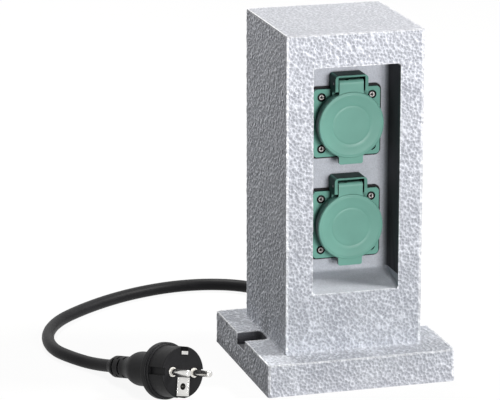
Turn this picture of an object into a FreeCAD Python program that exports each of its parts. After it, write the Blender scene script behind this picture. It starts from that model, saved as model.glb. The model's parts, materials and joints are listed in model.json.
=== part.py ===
import FreeCAD, Part
import math
import os
import re
import Sketcher

# Garden socket: a stone column on a foot plate, with two earthed sockets under
# hinged lids in a niche, and a supply cord that ends in a moulded plug.
# All lengths are millimetres. The origin is the middle of the foot plate's
# underside, +X is to the right of the niche, +Y goes away from the viewer.
Vector = FreeCAD.Vector
Rotation = FreeCAD.Rotation

SIZES = {
    # Stone housing
    "plate_width": 141,
    "plate_depth": 139,
    "plate_height": 24,
    "plate_round": 1.2,
    "plate_corner": 1.8,
    "column_width": 102.5,
    "column_depth": 102.5,
    "column_height": 234,
    "column_setback": 3,
    "column_round": 1,
    "foot_fillet": 0.8,
    "housing_wall": 10,
    "housing_top": 12,
    "niche_width": 64.6,
    "niche_height": 166.1,
    "niche_offset": 1.3,
    "niche_floor": 67.4,
    "niche_depth": 28,
    "niche_corner": 3,
    "niche_fillet": 5,
    "sill_rise": 8.6,
    "sill_key": 1,
    "panel_thickness": 8,
    # Slots at both sides of the foot plate, for the ground screws
    "slot_width": 23,
    "slot_length": 18.3,
    "slot_depth": 8.7,
    "slot_draft": 2,
    "slot_corner": 5,
    "ground_hole": 6,
    "ground_hole_inset": 9,
    # Bottom cover
    "rebate_depth": 4.5,
    "cover_lap": 4.75,
    "cover_thickness": 2.5,
    "cover_clearance": 0.3,
    "seal_thickness": 1,
    "boss_width": 10,
    "boss_height": 26,
    "cover_screw": 3,
    "cover_screw_head": 6,
    "cover_screw_length": 16,
    "pilot_clearance": 0.05,
    "screw_clearance": 0.2,
    # How far a cutting shape reaches past the face that it opens
    "cut_margin": 1,
    # Socket moulding; the two sockets stand one above the other
    "lower_socket": 112.2,
    "socket_spacing": 75.4,
    "gasket_thickness": 1,
    "gasket_margin": 1.6,
    "flange_width": 50,
    "flange_thickness": 2.8,
    "flange_corner": 3,
    "fixing_pitch": 38,
    "fixing_screw": 3.5,
    "fixing_head": 5.4,
    "fixing_head_height": 2,
    "fixing_screw_length": 9,
    "counterbore": 6.4,
    "counterbore_depth": 1.8,
    "collar_radius": 23.5,
    "collar_height": 4.8,
    "rim_radius": 21.8,
    "rim_height": 2.4,
    "mouth_radius": 19.7,
    "mouth_depth": 8,
    "recess_radius": 19.3,
    "recess_depth": 17.5,
    "cup_wall": 2.4,
    "cup_clearance": 0.55,
    "face_thickness": 4,
    "pin_spacing": 19,
    "pin_hole": 6,
    "pin_hole_bevel": 0.6,
    "ridge_width": 5,
    "ridge_height": 1.7,
    # Hinge hood
    "hood_width": 24.6,
    "hood_wall": 2.3,
    "hood_roof": 1.3,
    "hood_top": 36.6,
    "hood_foot": 20,
    "hood_front": 15.3,
    "hood_corner": 2.8,
    "cheek_step": 8.4,
    "cheek_step_height": 23.5,
    "cheek_front_height": 24.9,
    # Contacts and base behind the panel
    "base_depth": 15.5,
    "base_plate": 4,
    "base_wall": 1.8,
    "sleeve_radius": 3.2,
    "sleeve_bore": 2.48,
    "sleeve_length": 16.4,
    "lug_width": 7,
    "lug_depth": 6.5,
    "fit_gap": 0.1,
    "earth_terminal_drop": 12.5,
    "strap_width": 6,
    "strap_thickness": 0.8,
    "strap_gap": 0.5,
    "clip_offset": 0.5,
    "clip_length": 9.9,
    "clip_bend": 2.7,
    "clip_room": 0.5,
    "centre_screw": 2.6,
    "centre_head": 5.8,
    "centre_head_height": 1.5,
    "centre_screw_length": 11.9,
    "terminal_screw": 2.5,
    "terminal_head": 4.4,
    "terminal_head_height": 1.4,
    "screw_slot": 0.7,
    # Lid
    "lid_radius": 24.45,
    "lid_thickness": 2.5,
    "lid_gap": 1,
    "skirt_wall": 1.85,
    "skirt_height": 2.8,
    "lid_seal_inner": 19.9,
    "lid_seal_outer": 22.3,
    "lid_seal_gap": 0.1,
    "tab_width": 18,
    "tab_reach": 28.7,
    "tab_corner": 1.5,
    "neck_width": 18.2,
    "neck_fillet": 1.5,
    "hinge_height": 30.2,
    "barrel_radius": 3.2,
    "pin_radius": 1,
    "pin_gap": 0.1,
    "pin_end": 0.2,
    "line_width": 0.7,
    "line_height": 0.3,
    "line_inset": 1,
    "inner_ring_radius": 15,
    "inner_line_height": 0.2,
    # Lid spring
    "spring_wire": 0.6,
    "spring_radius": 1.95,
    "spring_length": 5.2,
    "spring_turns": 4,
    "spring_room": 8.4,
    "spring_room_radius": 2.6,
    "spring_notch": 5,
    "leg_slot": 2.1,
    "leg_room": 1.9,
    # Cord, strain relief and clamp
    "cord_radius": 4.65,
    "cord_height": 13,
    "cord_bore": 12,
    "relief_neck": 11.8,
    "relief_flange": 18,
    "relief_flange_thickness": 3,
    "relief_length": 27,
    "relief_thick": 15,
    "relief_thin": 11.2,
    "relief_rings": 5,
    "relief_ring_width": 2.4,
    "relief_ring_depth": 0.9,
    "relief_fit": 0.05,
    "tail_inside": 14.25,
    "shelf_width": 34,
    "shelf_length": 12.25,
    "clamp_width": 8,
    "clamp_length": 30,
    "clamp_thickness": 3,
    "clamp_screw": 3,
    "clamp_screw_head": 5.6,
    "clamp_screw_pitch": 20,
    "clamp_head_height": 2,
    # Terminal block and leads
    "block_width": 36,
    "block_height": 18,
    "block_depth": 16,
    "block_floor": 46,
    "pole_pitch": 11,
    "wire_pitch": 4,
    "wire_radius": 1.3,
    "wire_room": 0.1,
    "wire_entry": 5,
    "lead_run": 45,
    "lead_sway": 1.2,
    "core_spread": 2.3,
    "core_reach": 14,
    # Plug
    "plug_front_radius": 18.5,
    "plug_front_length": 16.8,
    "plug_step_radius": 19.6,
    "plug_step_length": 1.7,
    "plug_collar_radius": 20.5,
    "plug_collar_length": 5,
    "plug_neck_radius": 12.5,
    "plug_neck_end": 50,
    "plug_shoulder_end": 60,
    "plug_shoulder_round": 16,
    "plug_round": 0.8,
    "boot_radius": 8,
    "boot_taper_start": 77,
    "boot_end": 84,
    "boot_end_radius": 5.2,
    "boot_slot_pitch": 3.6,
    "boot_slot_width": 1.6,
    "boot_slot_depth": 2.4,
    "boot_slots": 4,
    "guide_width": 5.4,
    "guide_depth": 2.3,
    "notch_width": 6.4,
    "notch_floor": 14.3,
    "plug_pin_radius": 2.4,
    "plug_pin_length": 19,
    "plug_pin_root": 12,
    "plug_pin_root_radius": 1.9,
    "plug_pin_tip": 1.2,
    "ring_radius": 3.5,
    "ring_height": 0.6,
    "bridge_back": 8,
    "bridge_thickness": 3,
    "contact_width": 10.8,
    "contact_top": 3.5,
    "contact_bottom": 16.8,
    "contact_thickness": 0.8,
    "contact_edge": 0.4,
    "earth_hole_drop": 10,
    "earth_hole_radius": 2.4,
    "earth_hole_depth": 14,
    "earth_strip_width": 5.7,
    "earth_strip_back": 15,
    # Where the plug lies: the middle of its face, the way its pins point, its lean
    "plug_x": -132.7,
    "plug_y": -67.2,
    "plug_heading": -65.86,
    "plug_tilt": 11.06,
    "plug_roll": -13.6,
    "boot_lead": 20,
}

doc = FreeCAD.newDocument("GardenSocket")
sheet = doc.addObject("Spreadsheet::Sheet", "Sizes")
for row, (alias, number) in enumerate(SIZES.items(), 1):
    sheet.set(f"A{row}", alias)
    sheet.set(f"B{row}", str(number))
    sheet.setAlias(f"B{row}", alias)
doc.recompute()

# Places worked out from the sizes, as formulas
COLUMN_FRONT = "(column_setback - column_depth / 2)"
HOUSING_TOP = "(plate_height + column_height)"
CAVITY_HALF = "(column_width / 2 - housing_wall)"
CAVITY_BACK = "(column_setback + column_depth / 2 - housing_wall)"
COVER_WIDTH = f"(2 * ({CAVITY_HALF} + cover_lap))"
CAVITY_FRONT = "(column_setback - column_depth / 2 + housing_wall)"
PANEL = "(column_setback - column_depth / 2 + niche_depth)"
PANEL_BACK = f"({PANEL} + panel_thickness)"
SLOT_FLOOR = "(plate_height - slot_depth)"
PLATE_BACK = "(plate_depth / 2)"
CUP_RADIUS = "(recess_radius + cup_wall)"
BOSS_MIDDLE = f"({CAVITY_HALF} - boss_width / 2)"
SHELF_TOP = "(cord_height - cord_radius - fit_gap)"
CLAMP_Y = f"({CAVITY_BACK} - shelf_length / 2)"
CLAMP_FLOOR = "(cord_height + cord_radius + fit_gap)"
COVER_FLOOR = "(rebate_depth - seal_thickness - cover_thickness)"
BLOCK_FRONT = f"({CAVITY_BACK} - block_depth)"
BLOCK_WIRE_Y = f"({CAVITY_BACK} - block_depth / 2)"
BLOCK_TOP = "(block_floor + block_height)"

# Heights above the panel, in a socket's own frame
FLANGE_FRONT = "(gasket_thickness + flange_thickness)"
COLLAR_FRONT = f"({FLANGE_FRONT} + collar_height)"
RIM_FRONT = f"({COLLAR_FRONT} + rim_height)"
FACE = f"({RIM_FRONT} - recess_depth)"
FACE_BACK = f"({FACE} - face_thickness)"
LUG_FRONT = f"({FACE_BACK} - sleeve_length)"
LUG_BACK = f"({LUG_FRONT} - lug_depth)"
LID_BACK = f"({RIM_FRONT} + lid_gap)"
LID_FRONT = f"({LID_BACK} + lid_thickness)"
HINGE_REACH = f"({LID_FRONT} - barrel_radius)"
SEAT = f"({FLANGE_FRONT} - counterbore_depth)"
CLIP_ARM = "(recess_radius + strap_gap)"

# Lengths this close are the same
SAME = 1e-4
# A pan head's rounded share of its height, and its recess's share of its width
HEAD_ROUND = 0.4
HEAD_RECESS = 0.6
# Where the legs of a lid spring leave its coil, as turns in degrees from straight down
BACK_LEG_TURN = 135
FRONT_LEG_TURN = 270

SKYWARD = Rotation()
FACING_FRONT = Rotation(Vector(1, 0, 0), 90)
FACING_BACK = Rotation(Vector(1, 0, 0), -90)
ALONG = {"x": Rotation(Vector(0, 1, 0), 90), "y": FACING_BACK, "z": SKYWARD}

pieces = {}


def size(alias):
    """The value of one cell of the sheet."""
    return float(getattr(sheet, alias))


def cell(word):
    """A size's name points at its cell, any other word stays as it is."""
    return f"Sizes.{word.group()}" if word.group() in SIZES else word.group()


def bind(thing, field, text):
    """Tie a field of a feature to a formula of sizes."""
    thing.setExpression(field, re.sub(r"[a-z_]\w*", cell, str(text)))


def move(thing, place):
    for axis, text in zip("xyz", place):
        bind(thing, f"Placement.Base.{axis}", text)
    return thing


def box(low, span):
    """A box from its low corner and its span."""
    solid = doc.addObject("Part::Box", "Box")
    for field, text in zip(("Length", "Width", "Height"), span):
        bind(solid, field, text)
    return move(solid, low)


def middle_box(middle, low, width, depth, height):
    """A box that is centred in x and y."""
    x, y = middle
    return box((f"{x} - ({width}) / 2", f"{y} - ({depth}) / 2", low), (width, depth, height))


def rod(radius, start, length, along="z"):
    solid = doc.addObject("Part::Cylinder", "Rod")
    solid.Placement.Rotation = ALONG[along]
    bind(solid, "Radius", radius)
    bind(solid, "Height", length)
    return move(solid, start)


def cone(low_radius, high_radius, start, length):
    solid = doc.addObject("Part::Cone", "Cone")
    bind(solid, "Radius1", low_radius)
    bind(solid, "Radius2", high_radius)
    bind(solid, "Height", length)
    return move(solid, start)


def join(solids):
    together = doc.addObject("Part::MultiFuse", "Joined")
    together.Shapes = solids
    together.Refine = True
    return together


def less(solid, tools):
    """The solid without what the tools take away."""
    rest = doc.addObject("Part::Cut", "Less")
    rest.Base = solid
    rest.Tool = tools[0] if len(tools) == 1 else join(tools)
    rest.Refine = True
    return rest


def copies(solid, places):
    """One piece at several places."""
    group = doc.addObject("Part::Compound", "Copies")
    links = []
    for place in places:
        link = doc.addObject("App::Link", "Copy")
        link.LinkedObject = solid
        links.append(move(link, place))
    group.Links = links
    return group


def rounded(solid, radius, wanted):
    """Round the edges that a test picks out."""
    doc.recompute()
    fillet = doc.addObject("Part::Fillet", "Rounded")
    fillet.Base = solid
    numbered = enumerate(solid.Shape.Edges, 1)
    fillet.Edges = [(number, radius, radius) for number, edge in numbered if wanted(edge)]
    return fillet


def runs(edge, axis):
    """Whether an edge is straight and lies along an axis."""
    if len(edge.Vertexes) < 2:
        return False
    span = edge.Vertexes[1].Point - edge.Vertexes[0].Point
    return span.Length > 0 and math.isclose(abs(span.dot(axis)), span.Length, rel_tol=1e-6)


def at_height(edge, height):
    """Whether the whole edge lies at one height."""
    bounds = edge.BoundBox
    return all(math.isclose(end, height, abs_tol=SAME) for end in (bounds.ZMin, bounds.ZMax))


def outline(body, plane, points, offset="0"):
    """A closed outline on a plane of the body, with each corner tied to its formulas."""
    sketch = body.newObject("Sketcher::SketchObject", "Outline")
    support = next(feature for feature in body.Origin.OriginFeatures if feature.Role == plane)
    sketch.AttachmentSupport = [(support, "")]
    sketch.MapMode = "FlatFace"
    bind(sketch, "AttachmentOffset.Base.z", offset)
    turns = [2 * math.pi * number / len(points) for number in range(len(points))]
    corners = [Vector(math.cos(turn), math.sin(turn), 0) for turn in turns]
    for number, corner in enumerate(corners):
        sketch.addGeometry(Part.LineSegment(corner, corners[(number + 1) % len(corners)]))
    for number in range(len(points)):
        following = (number + 1) % len(points)
        sketch.addConstraint(Sketcher.Constraint("Coincident", number, 2, following, 1))
    for number, (point, corner) in enumerate(zip(points, corners)):
        for kind, text, guess in (("DistanceX", point[0], corner.x), ("DistanceY", point[1], corner.y)):
            index = sketch.addConstraint(Sketcher.Constraint(kind, -1, 1, number, 1, guess))
            bind(sketch, f"Constraints[{index}]", text)
    return sketch


def prism(plane, points, offset, length):
    """A flat outline drawn out along the normal of its plane."""
    body = doc.addObject("PartDesign::Body", "Prism")
    pad = body.newObject("PartDesign::Pad", "Pad")
    pad.Profile = outline(body, plane, points, offset)
    bind(pad, "Length", length)
    body.Tip = pad
    return body


def turned(points):
    """An outline of radius and height, turned about the Z axis."""
    body = doc.addObject("PartDesign::Body", "Turned")
    turn = body.newObject("PartDesign::Revolution", "Turn")
    turn.Profile = outline(body, "XZ_Plane", points)
    turn.ReferenceAxis = (turn.Profile[0], ["V_Axis"])
    turn.Angle = 360
    body.Tip = turn
    return body


def ring(outer, inner, low, height):
    return turned([(inner, low), (outer, low), (outer, f"{low} + {height}"), (inner, f"{low} + {height}")])


def keep(label, solid, turn=SKYWARD, place=None):
    """Name a finished piece and put it in its place, unless it was drawn there."""
    solid.Label = label
    pieces[label] = solid
    if place:
        solid.Placement = FreeCAD.Placement(Vector(), turn)
        move(solid, place)


def keep_shape(label, shape, turn=SKYWARD, place=Vector()):
    """Name a finished piece that is made as a bare shape."""
    piece = doc.addObject("Part::Feature", "Piece")
    piece.Label = label
    piece.Shape = shape
    piece.Placement = FreeCAD.Placement(place, turn)
    pieces[label] = piece


def bend(start, apex, end):
    """The arc that leaves start towards apex and reaches end from apex."""
    middle = (start + end) * 0.5
    chord = (end - start).Length / 2
    rise = apex - middle
    turn = 2 * math.atan2(rise.Length, chord)
    inner = middle + rise.normalize() * chord * math.tan(turn / 4)
    return Part.Arc(start, inner, end).toShape()


def route(points, share=0.45):
    """Straight runs through the points, joined by tangent arcs."""
    edges = []
    last = points[0]
    for before, corner, after in zip(points, points[1:], points[2:]):
        arriving = corner - before
        leaving = after - corner
        reach = share * min(arriving.Length, leaving.Length)
        start = corner - arriving.normalize() * reach
        end = corner + leaving.normalize() * reach
        edges.append(Part.LineSegment(last, start).toShape())
        edges.append(bend(start, corner, end))
        last = end
    edges.append(Part.LineSegment(last, points[-1]).toShape())
    return Part.Wire(edges)


def tube(path, radius):
    """A round solid along a path, checked against its section times its length."""
    start = path.Edges[0]
    first = start.FirstParameter
    section = Part.Circle(start.valueAt(first), start.tangentAt(first), radius).toShape()
    solid = path.makePipeShell([Part.Wire([section])], True, False)
    expected = math.pi * radius ** 2 * path.Length
    if not math.isclose(solid.Volume, expected, rel_tol=0.01):
        raise RuntimeError(f"tube volume {solid.Volume:.1f} differs from {expected:.1f}")
    return solid


def side_slot(side):
    """The open slot in one side of the foot plate, narrower at its floor."""
    over = "plate_round"
    slope = "slot_draft / slot_depth"
    low_half = "(slot_width / 2 - slot_draft)"
    high_half = f"(slot_width / 2 + {over} * {slope})"
    points = [
        (f"column_setback - {low_half}", SLOT_FLOOR),
        (f"column_setback + {low_half}", SLOT_FLOOR),
        (f"column_setback + {high_half}", f"plate_height + {over}"),
        (f"column_setback - {high_half}", f"plate_height + {over}"),
    ]
    inner = "(plate_width / 2 - slot_length)"
    offset = inner if side > 0 else f"-{inner} - slot_length - {over}"
    cutter = prism("YZ_Plane", points, offset, f"slot_length + {over}")

    def inner_corner(edge):
        near = size("plate_width") / 2 - size("slot_length")
        steep = edge.BoundBox.ZLength > size("slot_depth")
        return steep and math.isclose(side * edge.CenterOfMass.x, near, abs_tol=SAME)

    return rounded(cutter, size("slot_corner"), inner_corner)


def niche():
    """What the niche takes out of the column, before its sill is put in."""
    over = "niche_corner"
    low = ("niche_offset - niche_width / 2", f"{COLUMN_FRONT} - {over}", "niche_floor")
    block = box(low, ("niche_width", f"niche_depth + {over}", "niche_height"))
    back = panel_y()

    def back_upright(edge):
        return runs(edge, Vector(0, 0, 1)) and math.isclose(edge.CenterOfMass.y, back, abs_tol=SAME)

    def goes_in(edge):
        return runs(edge, Vector(0, 1, 0))

    return rounded(rounded(block, size("niche_fillet"), back_upright), size("niche_corner"), goes_in)


def sill():
    """The sloping sill of the niche, keyed into the stone around it."""
    back = f"{PANEL} + sill_key"
    low = "niche_floor - sill_key"
    points = [
        (COLUMN_FRONT, "niche_floor"),
        (back, "niche_floor + sill_rise * (niche_depth + sill_key) / niche_depth"),
        (back, low),
        (f"{COLUMN_FRONT} + sill_key", low),
    ]
    left = "niche_offset - niche_width / 2 - sill_key"
    return prism("YZ_Plane", points, left, "niche_width + 2 * sill_key")


def stone_housing():
    upright = Vector(0, 0, 1)
    plate = middle_box(("0", "0"), "0", "plate_width", "plate_depth", "plate_height")
    plate = rounded(plate, size("plate_corner"), lambda edge: runs(edge, upright))
    plate = rounded(plate, size("plate_round"), lambda edge: at_height(edge, size("plate_height")))
    column = middle_box(("0", "column_setback"), "0", "column_width", "column_depth", HOUSING_TOP)
    column = rounded(column, size("column_round"), lambda edge: edge.BoundBox.ZMax > size("plate_height"))
    shell = join([plate, column])

    def foot(edge):
        beside = abs(edge.CenterOfMass.x) < size("column_width") / 2 + SAME
        short = edge.BoundBox.XLength < size("column_width")
        return at_height(edge, size("plate_height")) and beside and short

    shell = rounded(shell, size("foot_fillet"), foot)
    cavity_width = f"2 * {CAVITY_HALF}"
    rear = box(
        (f"-{CAVITY_HALF}", PANEL_BACK, "0"),
        (cavity_width, f"{CAVITY_BACK} - {PANEL_BACK}", f"{HOUSING_TOP} - housing_top"),
    )
    front = box(
        (f"-{CAVITY_HALF}", CAVITY_FRONT, "0"),
        (cavity_width, f"{PANEL_BACK} - {CAVITY_FRONT}", "niche_floor - housing_wall"),
    )
    rebate_width = f"({COVER_WIDTH} + 2 * cover_clearance)"
    rebate = middle_box(("0", "column_setback"), "0", rebate_width, rebate_width, "rebate_depth")
    bore_start = ("0", f"{CAVITY_BACK} - cut_margin", "cord_height")
    cord_bore = rod("cord_bore / 2", bore_start, f"{PLATE_BACK} - {CAVITY_BACK} + 2 * cut_margin", "y")
    cutters = [rear, front, rebate, cord_bore, niche()]
    for side in (-1, 1):
        hole_x = f"{side} * (plate_width / 2 - ground_hole_inset)"
        cutters.append(side_slot(side))
        cutters.append(rod("ground_hole / 2", (hole_x, "column_setback", "0"), "plate_height"))
    for height in ("lower_socket", "(lower_socket + socket_spacing)"):
        start = f"{PANEL} - cut_margin"
        through = "panel_thickness + 2 * cut_margin"
        cutters.append(rod(f"{CUP_RADIUS} + cup_clearance", ("niche_offset", start, height), through, "y"))
        for x, z in corners("fixing_pitch"):
            place = (f"niche_offset + {x}", start, f"{height} + {z}")
            cutters.append(rod("fixing_screw / 2 + pilot_clearance", place, through, "y"))
    shell = less(shell, cutters)
    additions = [sill()]
    drills = []
    for x, y in corners(f"2 * {BOSS_MIDDLE}"):
        middle = (x, f"column_setback + {y}")
        additions.append(middle_box(middle, "rebate_depth", "boss_width", "boss_width", "boss_height"))
        depth = "rebate_depth + cover_screw_length"
        drills.append(rod("cover_screw / 2 + pilot_clearance", (*middle, "0"), depth))
    shelf_front = f"{CAVITY_BACK} - shelf_length"
    additions.append(
        box(
            ("-shelf_width / 2", shelf_front, "rebate_depth"),
            ("shelf_width", "shelf_length", f"{SHELF_TOP} - rebate_depth"),
        )
    )
    for side in (-1, 1):
        place = (f"{side} * clamp_screw_pitch / 2", CLAMP_Y, "0")
        drills.append(rod("clamp_screw / 2 + pilot_clearance", place, "cord_height"))
    keep("stone_housing", less(join([shell, *additions]), drills))


def corners(pitch):
    """The four corners of a square about its middle."""
    return [(f"{x} * ({pitch}) / 2", f"{y} * ({pitch}) / 2") for x in (-1, 1) for y in (-1, 1)]


def cross_recess(low, height, width):
    """The two crossed grooves in a screw's head."""
    groove = f"{width} / 4"
    return [
        middle_box(("0", "0"), low, width, groove, height),
        middle_box(("0", "0"), low, groove, width, height),
    ]


def pan_screw(seat, head, head_height, thread, length):
    """A pan head screw that points down, with the underside of its head at the seat."""
    top = f"{seat} + {head_height}"
    cap = rod(f"{head} / 2", ("0", "0", seat), head_height)
    cap = rounded(cap, HEAD_ROUND * size(head_height), lambda edge: at_height(edge, cap.Shape.BoundBox.ZMax))
    shank = rod(f"{thread} / 2", ("0", "0", f"{seat} - ({length})"), f"{length} + {head_height} / 2")
    recess = cross_recess(f"{top} - {head_height} / 2", head_height, f"{HEAD_RECESS} * {head}")
    return less(join([cap, shank]), recess)


def bottom_cover():
    screws = corners(f"2 * {BOSS_MIDDLE}")
    plate = middle_box(("0", "0"), COVER_FLOOR, COVER_WIDTH, COVER_WIDTH, "cover_thickness")
    holes = []
    for x, y in screws:
        holes.append(rod("cover_screw / 2 + screw_clearance", (x, y, "0"), "2 * rebate_depth"))
        sink = cone(
            "cover_screw_head / 2 + screw_clearance",
            "cover_screw / 2 + screw_clearance",
            (x, y, COVER_FLOOR),
            "(cover_screw_head - cover_screw) / 2",
        )
        holes.append(sink)
    keep("bottom_cover", less(plate, holes), place=("0", "column_setback", "0"))
    seal_floor = "rebate_depth - seal_thickness"
    inner = f"2 * {CAVITY_HALF}"
    frame = middle_box(("0", "0"), seal_floor, COVER_WIDTH, COVER_WIDTH, "seal_thickness")
    window = middle_box(("0", "0"), "0", inner, inner, "2 * rebate_depth")
    keep("bottom_seal", less(frame, [window]), place=("0", "column_setback", "0"))
    head_height = "(cover_screw_head - cover_screw) / 2"
    head = cone("cover_screw_head / 2", "cover_screw / 2", ("0", "0", COVER_FLOOR), head_height)
    shank_start = ("0", "0", f"{COVER_FLOOR} + {head_height} / 2")
    shank = rod("cover_screw / 2", shank_start, f"cover_screw_length - {head_height} / 2")
    recess_low = f"{COVER_FLOOR} - {head_height} / 2"
    recess = cross_recess(recess_low, head_height, f"{HEAD_RECESS} * cover_screw_head")
    screw = less(join([head, shank]), recess)
    places = [(x, y, "0") for x, y in screws]
    keep("bottom_cover_screws", copies(screw, places), place=("0", "column_setback", "0"))


def hinge_hood():
    """The hood over the hinge: two cheeks, a roof and the flange drawn up as a back."""
    side_view = [
        ("hood_foot", "gasket_thickness"),
        ("hood_top", "gasket_thickness"),
        ("hood_top", "hood_front"),
        ("cheek_front_height", "hood_front"),
        ("cheek_step_height", "cheek_step"),
        ("hood_foot", "cheek_step"),
    ]
    hood = prism("YZ_Plane", side_view, "-hood_width / 2", "hood_width")

    def top_corner(edge):
        at_top = math.isclose(edge.CenterOfMass.y, size("hood_top"), abs_tol=SAME)
        return runs(edge, Vector(0, 0, 1)) and at_top

    hood = rounded(hood, size("hood_corner"), top_corner)
    room_width = "hood_width - 2 * hood_wall"
    room = box(
        (f"-({room_width}) / 2", "hood_foot - cut_margin", FLANGE_FRONT),
        (room_width, "hood_top - hood_roof - hood_foot + cut_margin", "hood_front"),
    )
    return less(hood, [room])


def guide_ridge(side):
    inner = "(recess_radius - ridge_height)"
    low = inner if side > 0 else f"-{inner} - ridge_height - cup_wall / 2"
    height = "recess_depth - mouth_depth"
    return box((low, "-ridge_width / 2", FACE), ("ridge_height + cup_wall / 2", "ridge_width", height))


def socket_body(label, frame):
    """The green moulding: flange, collar, hood, and the recess that the plug goes in."""
    flange = middle_box(("0", "0"), "gasket_thickness", "flange_width", "flange_width", "flange_thickness")
    flange = rounded(flange, size("flange_corner"), lambda edge: runs(edge, Vector(0, 0, 1)))
    collar = rod("collar_radius", ("0", "0", "gasket_thickness"), f"{COLLAR_FRONT} - gasket_thickness")
    rim = rod("rim_radius", ("0", "0", "gasket_thickness"), f"{RIM_FRONT} - gasket_thickness")
    cup = rod(CUP_RADIUS, ("0", "0", FACE_BACK), f"{FLANGE_FRONT} - {FACE_BACK}")
    behind = f"{FACE_BACK} - cut_margin"
    through = "face_thickness + 2 * cut_margin"
    sink = f"{FACE} - centre_head_height"
    cutters = [
        rod("mouth_radius", ("0", "0", f"{RIM_FRONT} - mouth_depth"), "mouth_depth + cut_margin"),
        rod("recess_radius", ("0", "0", FACE), "recess_depth"),
        rod("pin_radius + pin_gap / 4", ("-hood_width", "hinge_height", HINGE_REACH), "2 * hood_width", "x"),
        rod("centre_screw / 2 + screw_clearance", ("0", "0", behind), through),
        rod("centre_head / 2 + screw_clearance", ("0", "0", sink), "face_thickness"),
    ]
    for x, y in corners("fixing_pitch"):
        cutters.append(rod("fixing_screw / 2 + screw_clearance", (x, y, "0"), FLANGE_FRONT))
        cutters.append(rod("counterbore / 2", (x, y, SEAT), "counterbore_depth + cut_margin"))
    for side in (-1, 1):
        x = f"{side} * pin_spacing / 2"
        bevel_low = (x, "0", f"{FACE} - pin_hole_bevel")
        bevel = cone("pin_hole / 2", "pin_hole / 2 + pin_hole_bevel", bevel_low, "pin_hole_bevel")
        cutters.append(rod("pin_hole / 2", (x, "0", behind), through))
        cutters.append(bevel)
    slot_width = "(strap_width + 2 * clip_room)"
    slot_span = f"2 * {CUP_RADIUS} + cut_margin"
    slot = middle_box(("0", "0"), behind, slot_width, slot_span, "clip_length + clip_room + cut_margin")
    core = rod("recess_radius - ridge_height", ("0", "0", behind), "face_thickness + cut_margin")
    cutters.append(less(slot, [core]))
    body = less(join([flange, collar, rim, cup, hinge_hood()]), cutters)
    body = join([body, guide_ridge(-1), guide_ridge(1)])
    keep(label, body, *frame)


def flange_gasket(label, frame):
    width = "(flange_width + 2 * gasket_margin)"
    sheet_piece = middle_box(("0", "0"), "0", width, width, "gasket_thickness")
    radius = size("flange_corner") + size("gasket_margin")
    sheet_piece = rounded(sheet_piece, radius, lambda edge: runs(edge, Vector(0, 0, 1)))
    holes = [rod(f"{CUP_RADIUS} + cup_clearance / 2", ("0", "0", "0"), "gasket_thickness")]
    for x, y in corners("fixing_pitch"):
        holes.append(rod("fixing_screw / 2 + screw_clearance", (x, y, "0"), "gasket_thickness"))
    keep(label, less(sheet_piece, holes), *frame)


def rear_base(label, frame):
    """The black base behind the panel that holds the contacts."""
    plate_back = f"({FACE_BACK} - base_plate)"
    wall_inner = f"({CUP_RADIUS} - base_wall)"
    cup = turned(
        [
            ("0", FACE_BACK),
            (CUP_RADIUS, FACE_BACK),
            (CUP_RADIUS, f"{FACE_BACK} - base_depth"),
            (wall_inner, f"{FACE_BACK} - base_depth"),
            (wall_inner, plate_back),
            ("0", plate_back),
        ]
    )
    boss_length = "(centre_screw_length + centre_head_height)"
    boss_height = f"{boss_length} - face_thickness - base_plate / 2"
    boss = rod("centre_screw + fit_gap", ("0", "0", f"{FACE} - {boss_length}"), boss_height)
    holes = [
        rod("centre_screw / 2 + pilot_clearance", ("0", "0", f"{FACE} - {boss_length}"), boss_length),
        middle_box(
            ("0", "0"),
            f"{FACE_BACK} - strap_thickness - fit_gap",
            "strap_width + 4 * fit_gap",
            f"2 * {CUP_RADIUS} + cut_margin",
            "base_plate",
        ),
    ]
    for x, y in terminals():
        holes.append(rod("sleeve_radius + fit_gap", (x, y, f"{FACE_BACK} - base_depth"), "base_depth"))
    keep(label, less(join([cup, boss]), holes), *frame)


def terminals():
    """Where line, neutral and earth come through the base."""
    return [("-pin_spacing / 2", "0"), ("pin_spacing / 2", "0"), ("0", "-earth_terminal_drop")]


def terminal_lug():
    """A lug about its own axis, with a hole for its lead and one for its screw."""
    lug = middle_box(("0", "0"), LUG_BACK, "lug_width", "lug_width", "lug_depth")
    wire = rod("wire_radius + wire_room", ("0", "0", LUG_BACK), "wire_entry")
    screw_start = ("0", "0", f"{LUG_BACK} + wire_entry / 2")
    screw = rod("terminal_screw / 2 + pilot_clearance", screw_start, "lug_width", "y")
    return less(lug, [wire, screw])


def pin_contact(label, frame, x):
    """A sleeve for one pin of the plug, with its terminal lug behind."""
    front = f"({FACE_BACK} - fit_gap)"
    sleeve = rod("sleeve_radius", ("0", "0", LUG_FRONT), f"{front} - {LUG_FRONT}")
    end_wall = "fit_gap * 5"
    bore = rod("sleeve_bore", ("0", "0", f"{LUG_FRONT} + {end_wall}"), "sleeve_length")
    contact = join([less(sleeve, [bore]), terminal_lug()])
    turn, place = frame
    keep(label, contact, turn, (f"{place[0]} + {x}", place[1], place[2]))


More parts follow.
